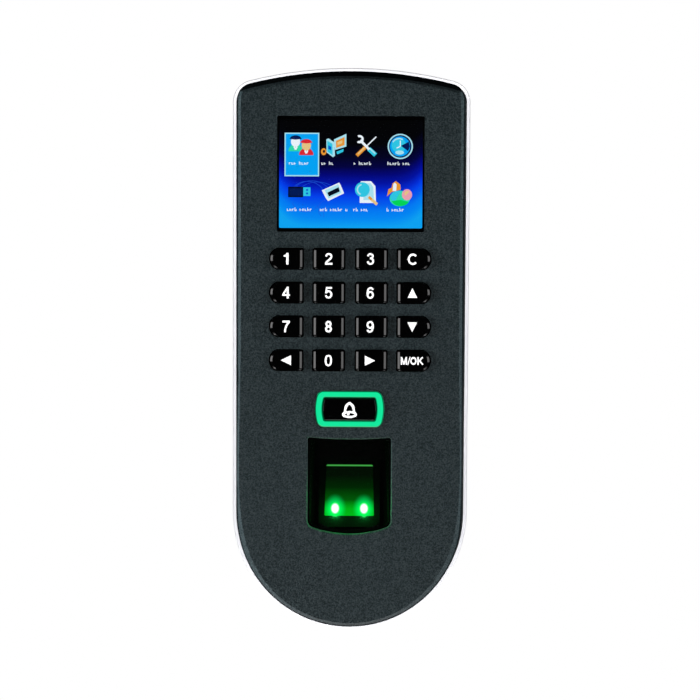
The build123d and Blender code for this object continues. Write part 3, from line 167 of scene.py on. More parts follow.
# painted light: the ink glows a little of its own, so the print shows brighter than the lamps alone make it
ink.node_tree.nodes["Principled BSDF"].inputs["Emission Color"].default_value = (1, 1, 1, 1)
ink.node_tree.nodes["Principled BSDF"].inputs["Emission Strength"].default_value = 0.25
board = material("solder_mask", (0.02, 0.16, 0.07), 0.35)
grain(board, 700, 0.01, ((0.015, 0.13, 0.055), (0.03, 0.2, 0.09)))
chip = material("moulded_black", (0.02, 0.02, 0.02), 0.55)
grain(chip, 2600, 0.02, ((0.014, 0.014, 0.014), (0.03, 0.03, 0.03)))
nickel = grain(material("nickel", (0.7, 0.68, 0.64), 0.25, 1.0), 800, 0.004, None, 3.0, (0.2, 0.32))
silicone = material("silicone", (0.2, 0.21, 0.22), 0.65)
grain(silicone, 1500, 0.02, ((0.17, 0.18, 0.19), (0.23, 0.24, 0.25)))
foam = grain(material("foam", (0.012, 0.012, 0.012), 0.9), 2400, 0.06)
flex = material("polyimide", (0.5, 0.2, 0.03), 0.3)
grain(flex, 500, 0.004, ((0.42, 0.16, 0.02), (0.56, 0.24, 0.04)))
copper = material("enamelled_copper", (0.68, 0.32, 0.16), 0.3, 1.0)
grain(copper, 900, 0.006, None, 3.0, (0.25, 0.4))
nylon = material("nylon_white", (0.75, 0.73, 0.66), 0.5)
grain(nylon, 1300, 0.012, ((0.70, 0.68, 0.61), (0.80, 0.78, 0.71)))
pin_gold = grain(material("gold_flash", (0.83, 0.62, 0.26), 0.25, 1.0), 900, 0.003, None, 3.0, (0.2, 0.32))
relay = material("relay_blue", (0.03, 0.10, 0.36), 0.35)
grain(relay, 1200, 0.01, ((0.025, 0.085, 0.31), (0.04, 0.12, 0.42)))
acetal = material("acetal", (0.72, 0.72, 0.69), 0.4)
grain(acetal, 1500, 0.01, ((0.68, 0.68, 0.65), (0.77, 0.77, 0.74)))
ribbon = material("ribbon_grey", (0.5, 0.51, 0.53), 0.5)
grain(ribbon, 700, 0.01, ((0.44, 0.45, 0.47), (0.56, 0.57, 0.59)))
lamp = grain(material("lamp_lens", (0.7, 0.95, 0.8), 0.2), 900, 0.003)
lens = material(
    "lens_clear", (0.9, 0.95, 1.0), 0.02, IOR=1.46, Transmission_Weight=1.0, Specular_IOR_Level=0.2
)
grain(lens, 250, 0.0004)


def glow(name, color, base, roughness):
    """A material that gives off light of its own."""
    mat = material(name, base, roughness)
    shader = mat.node_tree.nodes["Principled BSDF"]
    shader.inputs["Emission Color"].default_value = (*color, 1)
    shader.inputs["Emission Strength"].default_value = 1.0
    return mat


def screen_picture():
    """The lit display: black at the top, through navy to azure at the foot."""
    mat = glow("screen_picture", (0, 0, 0), (0, 0, 0), 0.15)
    shader = mat.node_tree.nodes["Principled BSDF"]
    parts = add_node(mat, "ShaderNodeSeparateXYZ")
    link(mat, place(mat), "Object", parts, "Vector")
    height = add_node(mat, "ShaderNodeMapRange")
    height.inputs["From Min"].default_value = (LCD_Z + ACTIVE_H / 2) * MM
    height.inputs["From Max"].default_value = (LCD_Z - ACTIVE_H / 2) * MM
    link(mat, parts, "Z", height, "Value")
    # the blue climbs towards the left and right edges
    across = add_node(mat, "ShaderNodeMath", operation="MULTIPLY")
    across.inputs[1].default_value = 2 / (ACTIVE_W * MM)
    link(mat, parts, "X", across, 0)
    outward = add_node(mat, "ShaderNodeMath", operation="ABSOLUTE")
    link(mat, across, 0, outward, 0)
    steep = add_node(mat, "ShaderNodeMath", operation="POWER")
    steep.inputs[1].default_value = 6
    link(mat, outward, 0, steep, 0)
    lifted = add_node(mat, "ShaderNodeMath", operation="MULTIPLY_ADD")
    lifted.inputs[1].default_value = 0.14
    link(mat, steep, 0, lifted, 0)
    link(mat, height, "Result", lifted, 2)
    ramp = add_node(mat, "ShaderNodeValToRGB")
    stops = (
        (0.0, (0, 0, 0)),
        (0.22, (0, 0, 0.001)),
        (0.34, (0, 0, 0.015)),
        (0.43, (0, 0, 0.05)),
        (0.50, (0, 0.001, 0.18)),
        (0.585, (0, 0.006, 0.38)),
        (0.65, (0, 0.022, 0.64)),
        (0.71, (0, 0.058, 0.88)),
        (0.78, (0, 0.115, 0.90)),
        (0.84, (0, 0.21, 0.94)),
        (0.91, (0, 0.27, 0.95)),
        (1.0, (0.004, 0.40, 0.93)),
    )
    elements = ramp.color_ramp.elements
    elements[0].position, elements[0].color = stops[0][0], (*stops[0][1], 1)
    elements[1].position, elements[1].color = stops[-1][0], (*stops[-1][1], 1)
    for position, color in stops[1:-1]:
        elements.new(position).color = (*color, 1)
    link(mat, lifted, 0, ramp, "Fac")
    link(mat, ramp, "Color", shader, "Emission Color")
    return grain(mat, 900, 0.001)


def ring_light():
    """The light ring: bright on top, deeper green where its rounded edges turn away."""
    mat = glow("ring_green", (0, 0, 0), (0.0, 0.02, 0.01), 0.3)
    turned = add_node(mat, "ShaderNodeLayerWeight", Blend=0.5)
    ramp = add_node(mat, "ShaderNodeValToRGB")
    elements = ramp.color_ramp.elements
    elements[0].position, elements[0].color = 0.02, (0.006, 0.80, 0.33, 1)
    elements[1].position, elements[1].color = 0.30, (0.0, 0.08, 0.03, 1)
    elements.new(0.12).color = (0.002, 0.50, 0.18, 1)
    link(mat, turned, "Facing", ramp, "Fac")
    link(mat, ramp, "Color", mat.node_tree.nodes["Principled BSDF"], "Emission Color")
    return grain(mat, 900, 0.003)


def sensor_window():
    """The sensor's glass, with painted light: glowing green at its foot as if lit by its two lamps, dark
    further up, with a painted bright upper edge.
    """
    mat = glow("sensor_window", (0, 0, 0), (0.0, 0.004, 0.001), 0.06)
    shader = mat.node_tree.nodes["Principled BSDF"]
    low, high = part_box("sensor_prism")
    parts = add_node(mat, "ShaderNodeSeparateXYZ")
    link(mat, place(mat), "Object", parts, "Vector")
    height = add_node(mat, "ShaderNodeMapRange")
    height.inputs["From Min"].default_value = low.z
    height.inputs["From Max"].default_value = high.z
    link(mat, parts, "Z", height, "Value")
    ramp = add_node(mat, "ShaderNodeValToRGB")
    elements = ramp.color_ramp.elements
    elements[0].color = (0, 0.50, 0.010, 1)
    elements[1].color = (0.05, 0.36, 0.06, 1)
    # the last stops give a painted highlight, a bright band along the glass's upper edge
    for position, color in (
        (0.17, (0, 0.42, 0.006)),
        (0.34, (0, 0.09, 0.002)),
        (0.57, (0, 0.018, 0.0005)),
        (0.80, (0.0006, 0.004, 0.0006)),
        (0.972, (0.0006, 0.004, 0.0006)),
        (0.978, (0.05, 0.36, 0.06)),
    ):
        elements.new(position).color = (*color, 1)
    link(mat, height, "Result", ramp, "Fac")
    total = (ramp, "Color")
    # the lamps' glow is taller than it is wide
    squeeze = 0.8
    flat = add_node(mat, "ShaderNodeVectorMath", operation="MULTIPLY")
    flat.inputs[1].default_value = (1, 0, squeeze)
    link(mat, place(mat), "Object", flat, 0)
    # painted light round each lamp: a green glow, and a white painted glint at its middle
    halo = (0.0006, 0.0042, (0, 0.75, 0.13))
    core = (0.0005, 0.0016, (2.0, 2.2, 2.2))
    for x in LAMP_XS:
        reach = add_node(mat, "ShaderNodeVectorMath", operation="DISTANCE")
        reach.inputs[1].default_value = (x * MM, 0, LAMP_Z * MM * squeeze)
        link(mat, flat, 0, reach, 0)
        for near, far, color in (halo, core):
            fade = add_node(mat, "ShaderNodeMapRange", interpolation_type="SMOOTHSTEP")
            fade.inputs["From Min"].default_value = far
            fade.inputs["From Max"].default_value = near
            link(mat, reach, "Value", fade, "Value")
            tint = add_node(mat, "ShaderNodeVectorMath", operation="SCALE")
            tint.inputs[0].default_value = color
            link(mat, fade, "Result", tint, "Scale")
            add = add_node(mat, "ShaderNodeVectorMath", operation="ADD")
            mat.node_tree.links.new(total[0].outputs[total[1]], add.inputs[0])
            link(mat, tint, 0, add, 1)
            total = (add, "Vector")
    mat.node_tree.links.new(total[0].outputs[total[1]], shader.inputs["Emission Color"])
    return grain(mat, 900, 0.001)


# each look and the nodes that wear it
LOOKS = {
    shell: ("rear_housing",),
    cover_face(): ("front_cover",),
    trim: ("trim_frame",),
    steel: ("wall_plate", "lcd_backlight", "shell_screws", "small_screws", "lock_screw"),
    gloss: ("doorbell_button", *KEYS),
    guide_black_painted_shade: ("finger_guide",),
    foam: ("lens_tape", "lcd_gasket"),
    screen_picture(): ("lcd_glass",),
    lens: ("display_lens",),
    flex: ("lcd_flex",),
    board: ("main_board", "power_board", "sensor_board"),
    chip: (
        "main_board_chips",
        "power_board_chips",
        "cell_holder",
        "sensor_housing",
        "sensor_lens",
        "usb_tongue",
        "speaker",
        "tamper_switch",
        "reset_switch",
    ),
    nickel: ("clock_cell", "key_domes", "usb_socket"),
    silicone: ("keypad_mat",),
    copper: ("card_coil",),
    nylon: ("terminal_sockets",),
    pin_gold: ("terminal_pins",),
    relay: ("lock_relay",),
    acetal: ("tamper_plunger", "reset_button"),
    ribbon: ("sensor_ribbon", "board_ribbon"),
    lamp: ("ring_leds", "sensor_leds"),
    ring_light(): ("ring_light_guide",),
    sensor_window(): ("sensor_prism",),
}
for look, nodes in LOOKS.items():
    for node in nodes:
        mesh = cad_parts[node].data
        mesh.materials.clear()
        mesh.materials.append(look)


# ---------------------------------------------------------------- flat artwork
# The screen's icons and the printed legends are thin faces that lie just in front of what they are on.
def glow_color(name, color):
    """A lit colour of the screen's icons."""
    return grain(glow("lit_" + name, color, (0, 0, 0), 0.4), 900, 0.002)


LIT = {
    "white": glow_color("white", (0.95, 0.98, 1.0)),
    "pale": glow_color("pale", (0.45, 0.82, 0.9)),
    "cyan": glow_color("cyan", (0.03, 0.62, 0.80)),
    "azure": glow_color("azure", (0.0, 0.40, 0.95)),
    "blue": glow_color("blue", (0.0, 0.10, 0.62)),
    "navy": glow_color("navy", (0.0, 0.01, 0.09)),
    "trace": glow_color("trace", (0.01, 0.09, 0.72)),
    "orange": glow_color("orange", (0.93, 0.33, 0.03)),
    "tan": glow_color("tan", (0.90, 0.60, 0.24)),
    "red": glow_color("red", (0.80, 0.02, 0.03)),
    "green": glow_color("green", (0.0, 0.72, 0.10)),
    "mint": glow_color("mint", (0.03, 0.75, 0.42)),
    "pink": glow_color("pink", (0.95, 0.38, 0.45)),
    "dark": glow_color("dark", (0.0, 0.002, 0.01)),
}


def disc(x, z, rx, rz=None, start=0, stop=360):
    """An ellipse or a slice of one."""
    rz = rz or rx
    steps = max(6, int(abs(stop - start) / 10))
    turns = [radians(start + (stop - start) * i / steps) for i in range(steps + 1)]
    points = [(x + rx * cos(a), z + rz * sin(a)) for a in turns]
    if abs(stop - start) >= 360:
        return points[:-1]
    return points + [(x, z)]


def band(x, z, r, width, start, stop, squeeze=1.0):
    """A curved stroke of this width."""
    steps = max(6, int(abs(stop - start) / 8))
    turns = [radians(start + (stop - start) * i / steps) for i in range(steps + 1)]
    edges = (r + width / 2, r - width / 2)
    outer, inner = ([(x + edge * cos(a), z + squeeze * edge * sin(a)) for a in turns] for edge in edges)
    return [[outer[i], outer[i + 1], inner[i + 1], inner[i]] for i in range(steps)]


def stroke(x0, z0, x1, z1, width):
    """A straight stroke of this width."""
    along = Vector((x1 - x0, z1 - z0)).normalized() * width / 2
    dx, dz = -along.y, along.x
    return [(x0 + dx, z0 + dz), (x0 - dx, z0 - dz), (x1 - dx, z1 - dz), (x1 + dx, z1 + dz)]


def rect(x0, z0, x1, z1):
    """An upright rectangle between two corners."""
    return [(x0, z0), (x1, z0), (x1, z1), (x0, z1)]


def curve_point(p0, p1, p2, p3, t):
    """A point between p1 and p2 on the smooth curve through all four, the Catmull-Rom spline."""
    bend = 2 * p0 - 5 * p1 + 4 * p2 - p3
    twist = 3 * p1 - p0 - 3 * p2 + p3
    return 0.5 * (2 * p1 + (p2 - p0) * t + bend * t * t + twist * t**3)


def trace(points, width, steps=5):
    """A stroke of this width along a smooth path through these points."""
    knots = [Vector(p) for p in [points[0], *points, points[-1]]]
    path = [curve_point(*knots[i : i + 4], s / steps) for i in range(len(points) - 1) for s in range(steps)]
    path.append(Vector(points[-1]))
    left, right = [], []
    for i, point in enumerate(path):
        along = (path[min(i + 1, len(path) - 1)] - path[max(i - 1, 0)]).normalized() * width / 2
        left.append((point.x - along.y, point.y + along.x))
        right.append((point.x + along.y, point.y - along.x))
    return [[left[i], left[i + 1], right[i + 1], right[i]] for i in range(len(path) - 1)]


def rounded(points, steps=6):
    """A closed smooth outline through these points."""
    knots = [Vector(p) for p in [points[-1], *points, *points[:2]]]
    path = [curve_point(*knots[i : i + 4], s / steps) for i in range(len(points)) for s in range(steps)]
    return [(point.x, point.y) for point in path]


LAYER = 0.02  # step between two layers of artwork, mm


def artwork(name, shapes, depth, at=(0, 0), body="root"):
    """Flat faces at this depth. Shapes pair a look with its outline or outlines, each over the last."""
    mesh = bpy.data.meshes.new(name)
    points, faces, looks, used = [], [], [], []
    for layer, (look, outlines) in enumerate(shapes):
        if look not in used:
            used.append(look)
        y = -(depth + layer * LAYER) * MM
        for outline in outlines if isinstance(outlines[0], list) else [outlines]:
            faces.append(list(range(len(points), len(points) + len(outline))))
            looks.append(used.index(look))
            points += [((at[0] + x) * MM, y, (at[1] + z) * MM) for x, z in outline]
    mesh.from_pydata(points, [], faces)
    for look in used:
        mesh.materials.append(LIT[look] if isinstance(look, str) else look)
    for face, look in zip(mesh.polygons, looks):
        face.material_index = look
    piece = bpy.data.objects.new(name, mesh)
    scene.collection.objects.link(piece)
    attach(piece, body)
    return piece


SCREEN_D = 38.22  # just in front of the display's glass
ICON_D = SCREEN_D + 3 * LAYER  # in front of the tile and the traces


def person(x, z, hair, face, coat):
    """Head and shoulders, with an open collar."""
    return [
        (coat, disc(x, z - 3.1, 2.5, 2.5, 0, 180)),
        (face, disc(x, z + 0.2, 1.6, 1.75)),
        (hair, disc(x, z + 0.9, 2.1, 1.5, 10, 170)),
        ("white", [stroke(x - 0.5, z - 1.5, x, z - 2.5, 0.55), stroke(x + 0.5, z - 1.5, x, z - 2.5, 0.55)]),
    ]


def label(x0, x1, z, seed):
    """A greeked caption: small marks the size of letters, with no letters. The seed varies their rhythm."""
    marks, x, n = [], x0, seed
    while x < x1 - 0.5:
        n += 1
        tall = 1.15 if n % 4 == 1 else 0.8
        marks.append(rect(x, z - 0.45, x + 0.24, z - 0.45 + tall))
        marks.append(rect(x + 0.24, z - 0.45 + 0.28 * (n % 3), x + 0.62, z - 0.25 + 0.28 * (n % 3)))
        if n % 2:
            marks.append(rect(x + 0.48, z - 0.45, x + 0.66, z + 0.2))
        x += 1.75 if n % 5 == 4 else 0.88
    return marks


# each icon's place on the screen, and what it is drawn with
icons = {
    "people": (
        (-17.2, 10.2),
        person(-1.9, 0.8, "navy", "white", "mint") + person(1.8, -0.5, "red", "tan", "red"),
    ),
    "device": (
        (-5.9, 9.8),
        [
            ("pale", [(-2.6, 2.2), (-1.9, 2.6), (0.2, 1.2), (0.4, -3.4), (-0.3, -3.9), (-2.5, -2.2)]),
            ("cyan", [(-2.3, 1.8), (-0.5, 0.7), (-0.4, -3.2), (-2.2, -2.0)]),
            ("blue", [(-1.9, 0.2), (-0.9, -0.3), (-0.9, -1.5), (-1.9, -1.1)]),
            ("pale", [(0.0, 2.2), (4.3, 4.2), (4.3, -0.2), (0.4, -1.4)]),
            ("orange", [(0.7, 1.7), (3.7, 3.1), (3.7, 0.3), (0.8, -0.7)]),
            ("tan", [(1.2, 1.2), (2.9, 2.0), (2.9, 0.9), (1.3, 0.3)]),
            ("cyan", [(0.9, -2.0), (3.4, -1.0), (3.2, -2.0), (1.2, -2.9)]),
            ("orange", disc(-3.5, -2.0, 0.95, 1.2)),
            ("dark", disc(-3.4, -1.9, 0.4, 0.5)),
        ],
    ),
    "tools": (
        (5.4, 9.8),
        [
            ("cyan", stroke(0.7, -0.9, 3.1, -3.1, 1.5)),
            ("pale", stroke(0.9, -0.7, 3.0, -2.6, 0.5)),
            ("white", stroke(-2.2, 2.0, 0.9, -1.2, 0.85)),
            ("white", band(-2.45, 2.35, 1.05, 0.75, -130, 120)),
            ("white", stroke(3.3, 3.2, -0.4, -0.4, 0.42)),
            ("orange", stroke(-0.4, -0.4, -3.4, -3.3, 1.2)),
            ("tan", stroke(-0.6, -0.4, -3.0, -2.8, 0.45)),
        ],
    ),
    "dial": (
        (17.0, 9.7),
        [
            ("pale", disc(0, 0, 4.35)),
            ("navy", disc(0, 0, 3.9)),
            ("azure", disc(-0.1, 0, 3.45)),
            ("cyan", disc(-0.5, 0.4, 2.5)),
            ("pale", disc(-0.2, -2.1, 1.5, 0.7)),
            ("pale", band(-0.4, 0.2, 2.5, 0.5, 60, 150)),
            ("navy", [(0.2, 0.2), (2.9, 1.6), (3.3, 0.0), (2.7, -1.6)]),
            ("white", [stroke(0, 0, 0.0, 2.0, 0.35), stroke(0, 0, -1.3, -0.6, 0.35)]),
        ],
    ),
    "memory_stick": (
        (-17.7, -6.0),
        [
            ("dark", rect(-3.9, -1.9, 1.3, 1.7)),
            ("navy", rect(-3.5, -1.4, 1.2, 1.2)),
            ("cyan", rect(1.3, -1.5, 3.8, 1.5)),
            ("blue", [rect(2.3, 0.3, 3.0, 0.9), rect(2.3, -0.9, 3.0, -0.3)]),
        ],
    ),
    "ticket": (
        (-6.1, -5.9),
        [
            ("white", [(-3.9, 0.4), (2.1, 3.1), (2.6, 2.3), (3.8, -0.6), (-1.7, -3.3), (-2.5, -2.3)]),
            ("pale", [(-2.9, 0.4), (1.8, 2.5), (2.9, -0.4), (-1.6, -2.4)]),
            ("dark", [(-2.0, -0.4), (1.9, 1.5), (2.3, 0.0), (-1.4, -1.7)]),
        ],
    ),
    "search": (
        (5.4, -6.2),
        [
            (
                "white",
                [(-1.9, 3.9), (1.6, 3.9), (3.1, 2.2), (3.3, -3.0), (2.4, -3.6), (-2.3, -3.6), (-2.3, 2.9)],
            ),
            ("pale", [(-1.0, 3.2), (1.4, 3.2), (2.4, 1.8), (2.6, -2.6), (-1.0, -2.6)]),
            ("cyan", disc(-1.4, 1.0, 2.55)),
            ("pale", band(-1.4, 1.0, 1.7, 0.5, 100, 250)),
            ("tan", stroke(0.9, -1.6, 3.7, -4.1, 1.0)),
            ("orange", stroke(0.8, -1.5, 1.8, -2.4, 0.8)),
        ],
    ),
    "chart": (
        (16.7, -6.6),
        [
            (
                "orange",
                [(-4.2, -0.9), (-3.7, 1.6), (-2.6, 2.1), (-2.3, 3.6)]
                + [(-1.2, 4.4), (0.4, 3.2), (0.5, 1.4), (-2.6, 0.6)],
            ),
            ("white", [(-2.3, 1.0), (-2.0, 3.4), (-1.5, 3.9), (-0.9, 3.2), (-1.0, 1.0)]),
            ("mint", disc(0.2, -1.6, 3.5, 2.7)),
            ("cyan", disc(-0.6, -1.0, 2.4, 2.0, 60, 250)),
            ("green", disc(0.5, -2.1, 3.0, 2.1, 190, 340)),
            ("pink", disc(2.7, -0.3, 1.75, 1.9)),
            ("tan", disc(2.9, 0.0, 1.1, 1.0, 60, 220)),
        ],
    ),
}
artwork(
    "screen_tile",
    [("pale", rect(-22.9, -0.7, -10.95, 14.3)), ("azure", rect(-22.5, -0.3, -11.35, 13.9))],
    SCREEN_D,
    (0, LCD_Z),
)
artwork(
    "screen_traces",
    [
        (
            "trace",
            band(-15.0, -9.0, 6.6, 0.16, 20, 165)
            + band(-13.6, -10.4, 8.2, 0.14, 30, 140)
            + band(-11.5, -12.0, 9.4, 0.12, 60, 150)
            + band(-15.5, -8.0, 5.0, 0.14, 200, 330)
            + band(-8.0, -12.0, 3.2, 0.14, 90, 230)
            + band(-7.0, -14.0, 2.4, 0.12, 60, 200),
        )
    ],
    SCREEN_D,
    (0, LCD_Z),
)
for name, (spot, shapes) in icons.items():
    artwork("icon_" + name, shapes, ICON_D, (spot[0], LCD_Z + spot[1]))

# both ends and the height of the caption under each icon
captions = (
    (-21.4, -14.3, 3.75),
    (-10.2, -5.6, 3.75),
    (1.0, 6.8, 3.75),
    (12.6, 20.9, 3.75),
    (-22.0, -13.5, -12.2),
    (-10.6, -1.3, -12.2),
    (0.9, 6.6, -12.2),
    (12.4, 19.7, -12.2),
)
for count, (x0, x1, z) in enumerate(captions, 1):
    artwork(f"caption_{count}", [("white", label(x0, x1, z, count))], ICON_D, (0, LCD_Z))

# the keys' legends, in mm from the middle of each: curved strokes are traced by a pen, straight ones are bars
PEN = 0.63  # width of a digit's stroke
THIN_PEN = 0.46  # width of a letter's stroke on the last key
SIX = [(0.92, 1.05), (0.6, 1.52), (0.05, 1.68), (-0.62, 1.3), (-0.93, 0.3), (-0.93, -0.6), (-0.65, -1.4)]
SIX += [(0, -1.68), (0.66, -1.36), (0.9, -0.65), (0.62, 0.1), (0, 0.34), (-0.6, 0.08), (-0.9, -0.5)]
FIVE = [(-0.86, -0.02), (-0.3, 0.5), (0.45, 0.42), (0.92, -0.3), (0.76, -1.2)]
FIVE += [(0.05, -1.68), (-0.66, -1.42), (-0.98, -0.85)]
THREE = [(-0.9, 0.95), (-0.62, 1.48), (0.02, 1.68), (0.68, 1.38), (0.74, 0.82), (0.42, 0.36), (-0.15, 0.22)]
THREE_FOOT = [(-0.15, 0.22), (0.55, 0.08), (0.93, -0.6), (0.7, -1.35), (0, -1.68), (-0.7, -1.38)]
THREE_FOOT += [(-0.96, -0.8)]
TWO = [(-0.92, 0.8), (-0.68, 1.42), (0, 1.68), (0.72, 1.38), (0.88, 0.75), (0.5, 0.02)]
TWO += [(-0.25, -0.6), (-0.8, -1.15), (-0.98, -1.66)]
ZERO = [(0, 1.67), (0.68, 1.28), (0.93, 0), (0.68, -1.28), (0, -1.67), (-0.68, -1.28)]
ZERO += [(-0.93, 0), (-0.68, 1.28), (0, 1.67)]
FLAG = [(-0.9, 0.7), (-0.9, 1.22), (-0.2, 1.42), (0.12, 2.0), (0.5, 2.0), (0.1, 0.7)]
SEVEN_LEG = [(0.98, 1.5), (0.3, 0.55), (-0.18, -0.6), (-0.36, -2.0)]
GLYPHS = {
    "1": [rect(0.0, -2.0, 0.76, 2.0), FLAG],
    "2": trace(TWO, PEN) + [rect(-1.3, -2.0, 1.25, -1.34)],
    "3": trace(THREE, PEN) + trace(THREE_FOOT, PEN),
    "4": [stroke(0.5, 1.75, -1.1, -0.7, 0.6), rect(-1.3, -1.15, 1.3, -0.56), rect(0.2, -2.0, 0.88, 2.0)],
    "5": [rect(-0.86, 1.34, 1.12, 2.0), stroke(-0.62, 1.9, -0.9, -0.2, 0.6)] + trace(FIVE, PEN),
    "6": trace(SIX, PEN),
    "7": [rect(-1.25, 1.34, 1.28, 2.0)] + trace(SEVEN_LEG, PEN),
    "8": band(0, 0.92, 0.72, 0.64, 0, 360, 1.04) + band(0, -0.82, 0.84, 0.68, 0, 360),
    "9": trace([(-x, -z) for x, z in SIX], PEN),
    "0": trace(ZERO, PEN),
    "C": band(0.1, 0, 1.42, PEN, 42, 318, 1.13),
    "M/OK": [
        rect(-3.85, -1.35, -3.4, 1.35),
        rect(-2.15, -1.35, -1.7, 1.35),
        stroke(-3.6, 1.3, -2.75, -1.3, THIN_PEN),
        stroke(-1.95, 1.3, -2.8, -1.3, THIN_PEN),
        stroke(-1.45, -1.4, -0.65, 1.4, 0.3),
        rect(1.85, -1.35, 2.3, 1.35),
        stroke(2.2, -0.3, 3.65, 1.3, THIN_PEN),
        stroke(2.6, 0.1, 3.75, -1.3, THIN_PEN),
    ]
    + band(0.5, 0, 0.85, THIN_PEN, 0, 360, 1.24),
    "up": [[(-1.65, -1.6), (1.65, -1.6), (0, 1.7)]],
    "down": [[(-1.65, 1.6), (0, -1.7), (1.65, 1.6)]],
    "left": [[(1.75, -1.7), (1.75, 1.7), (-1.75, 0)]],
    "right": [[(-1.75, -1.7), (1.75, 0), (-1.75, 1.7)]],
}
legends = (
    (("key_1", "1"), ("key_2", "2"), ("key_3", "3"), ("key_clear", "C")),
    (("key_4", "4"), ("key_5", "5"), ("key_6", "6"), ("key_up", "up")),
    (("key_7", "7"), ("key_8", "8"), ("key_9", "9"), ("key_down", "down")),
    (("key_left", "left"), ("key_0", "0"), ("key_right", "right"), ("key_ok", "M/OK")),
)
LEGEND_XS = (-21.95, -7.35, 6.95, 21.4)
KEY_TOP_D = 42.8
for row in legends:
    for x, (key, legend) in zip(LEGEND_XS, row):
        low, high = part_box(key)
        spot = (x, (low.z + high.z) / 2 / MM)
        artwork("legend_" + key, [(ink, GLYPHS[legend])], KEY_TOP_D + LAYER, spot, key + "_body")

# bell drawn in outline on the doorbell button
RING_Z = -20.7
BUTTON_TOP_D = 42.7
bell_half = [(0, 2.55), (0.95, 2.0), (1.6, 1.2), (1.8, 0.0), (2.0, -0.8), (2.55, -1.6), (2.1, -2.5)]
bell_half += [(0, -2.95)]
bell = bell_half + [(-x, z) for x, z in reversed(bell_half[1:-1])]
dome_half = [(0, 1.6), (0.6, 1.1), (0.95, 0.3), (1.1, -0.62), (0.6, -0.62), (0, -0.5)]
dome = dome_half + [(-x, z) for x, z in reversed(dome_half[1:-1])]
artwork(
    "bell_symbol",
    [
        (ink, rounded(bell)),
        (gloss, rounded(dome)),
        (gloss, disc(0.05, -1.75, 1.6, 0.48)),
        (ink, disc(-0.4, -1.5, 0.5, 0.55)),
    ],
    BUTTON_TOP_D + LAYER,
    (0, RING_Z),
    "doorbell_button_body",
)


# ---------------------------------------------------------------- lights, floor, camera
CENTRE = Vector((0, -0.03, 0))  # the point that the lights face, in metres like all that follows


def soft_light(name, at, size, power):
    """A rectangular light that faces the terminal."""
    lamp_data = bpy.data.lights.new(name, "AREA")
    lamp_data.shape = "RECTANGLE"
    lamp_data.size, lamp_data.size_y = size
    lamp_data.energy = power
    light = bpy.data.objects.new(name, lamp_data)
    light.location = at
    light.rotation_euler = (CENTRE - Vector(at)).to_track_quat("-Z", "Y").to_euler()
    light.visible_camera = False
    scene.collection.objects.link(light)
    return light


def only_on(light, name, nodes, state="INCLUDE"):
    """Let a light fall on these nodes alone, or on everything but them."""
    lit = bpy.data.collections.new(name)
    for node in nodes:
        lit.objects.link(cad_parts[node])
    for item in lit.collection_objects:
        item.light_linking.link_state = state
    light.light_linking.receiver_collection = lit


glossy = [*KEYS, "doorbell_button", "finger_guide"]

# the cover's lights stay off the glossy pieces, which would mirror them as white patches from the side
spared = glossy + ["trim_frame", "display_lens", "ring_light_guide", "sensor_prism"]
for name, at, size, power in (
    ("front_left", (-0.85, -0.60, -0.15), (0.5, 0.5), 1.7),
    ("front_right", (0.85, -0.60, -0.15), (0.5, 0.5), 0.8),
    ("left_box", (-1.0, -0.13, -0.02), (0.4, 0.3), 55),
    ("right_box", (1.0, -0.13, -0.02), (0.4, 0.3), 33),
):
    also = [] if name == "front_right" else ["rear_housing"]
    light = soft_light(name, at, size, power)
    # a box this low would turn the whole cover pale with its sheen when seen from the side
    light.visible_glossy = not name.endswith("box")
    only_on(light, name + "_on", spared + also, "EXCLUDE")
for side in (-1, 1):
    box = soft_light(f"back_box_{side}", (0.8 * side, 0.8, 0.4), (0.7, 0.9), 9)
    only_on(box, f"back_box_{side}_on", ("trim_frame", "front_cover"), "EXCLUDE")

# the bright frame mirrors pale surroundings that the dark cover must not catch
for side in (-1, 1):
    for height, power in ((-0.25, 1.8), (0.25, 3.6)):
        name = f"frame_light_{side}_{height}"
        light = soft_light(name, (0.3 * side, -0.8, height), (0.4, 0.3), power)
        only_on(light, name, ("trim_frame",))

# tall strips that the glossy keys and the well's rim mirror at their edges
for side, power in ((-1, 1.7), (1, 1.2)):
    name = f"strip_{side}"
    only_on(soft_light(name, (0.9 * side, -0.5, 0.1), (0.3, 0.46), power), name, glossy)

# green light that the sensor's two lamps throw on the walls of the finger well
SPILL_D, SPILL_Z = 41.0, -55.2  # in front of the glass, clear of it
for count, x in enumerate(LAMP_XS, 1):
    spill_data = bpy.data.lights.new(f"sensor_spill_{count}", "POINT")
    spill_data.energy = 0.009
    spill_data.color = (0.02, 1.0, 0.14)
    spill_data.shadow_soft_size = 0.0015
    spill = bpy.data.objects.new(spill_data.name, spill_data)
    spill.location = (x * MM, -SPILL_D * MM, SPILL_Z * MM)
    spill.visible_camera = False
    scene.collection.objects.link(spill)
    only_on(spill, spill_data.name, ("finger_guide", "front_cover"))

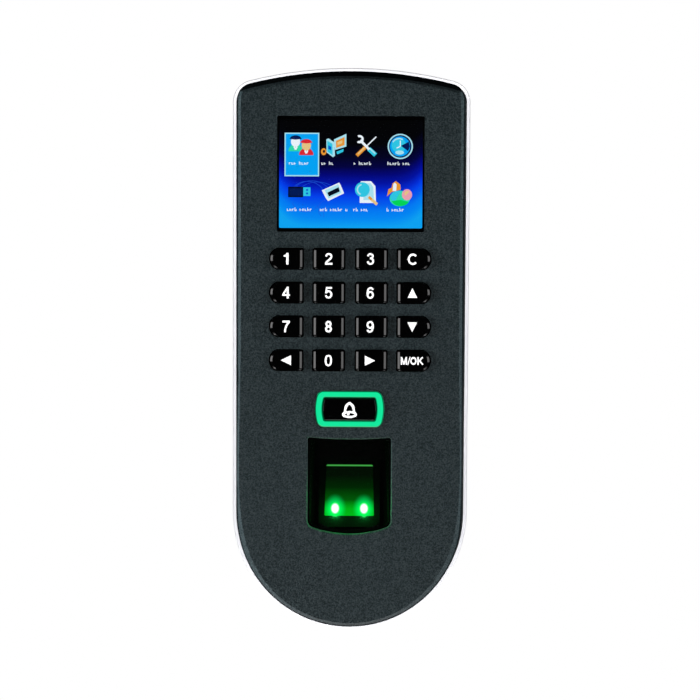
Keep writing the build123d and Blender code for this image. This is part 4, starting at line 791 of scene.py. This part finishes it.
# the camera sees a white room, but only a dim one lights and is mirrored in the pieces
world = bpy.data.worlds.new("studio")
scene.world = world
world.use_nodes = True
tree = world.node_tree
background = tree.nodes["Background"]
path = tree.nodes.new("ShaderNodeLightPath")
shade = tree.nodes.new("ShaderNodeMixRGB")
shade.inputs["Color1"].default_value = (0.015, 0.016, 0.017, 1)
shade.inputs["Color2"].default_value = (1, 1, 1, 1)
tree.links.new(path.outputs["Is Camera Ray"], shade.inputs["Fac"])
tree.links.new(shade.outputs["Color"], background.inputs["Color"])

FLOOR_R, FLOOR_Z = 1.2, -0.75
SIDES = 96  # of the polygon that stands for the round floor
turns = [2 * pi * i / SIDES for i in range(SIDES)]
floor_mesh = bpy.data.meshes.new("floor")
rim = [(FLOOR_R * cos(a), FLOOR_R * sin(a), FLOOR_Z) for a in turns]
floor_mesh.from_pydata(rim, [], [list(range(SIDES))])
pale = material("pale_floor", (0.82, 0.82, 0.82), 0.7)
floor_mesh.materials.append(grain(pale, 60, 0.05, ((0.80, 0.80, 0.80), (0.84, 0.84, 0.84))))
floor = bpy.data.objects.new("floor", floor_mesh)
scene.collection.objects.link(floor)

DISTANCE = 0.70
HALF_VIEW = 0.120575  # half of the width seen at that distance
SENSOR = 36
AZIMUTH, ELEVATION, ROLL = radians(1.0), radians(1.5), radians(0.28)
target = Vector((0.00005, -0.041, -0.0003))
back = Vector((sin(AZIMUTH) * cos(ELEVATION), -cos(AZIMUTH) * cos(ELEVATION), sin(ELEVATION)))
camera_data = bpy.data.cameras.new("camera")
camera_data.sensor_width = SENSOR
camera_data.lens = SENSOR / 2 * DISTANCE / HALF_VIEW
camera_data.clip_start, camera_data.clip_end = 0.01, 20
camera = bpy.data.objects.new("camera", camera_data)
camera.location = target + back * DISTANCE
camera.rotation_mode = "QUATERNION"
roll = Matrix.Rotation(ROLL, 4, "Z").to_quaternion()
camera.rotation_quaternion = (-back).to_track_quat("-Z", "Y") @ roll
scene.collection.objects.link(camera)
scene.camera = camera
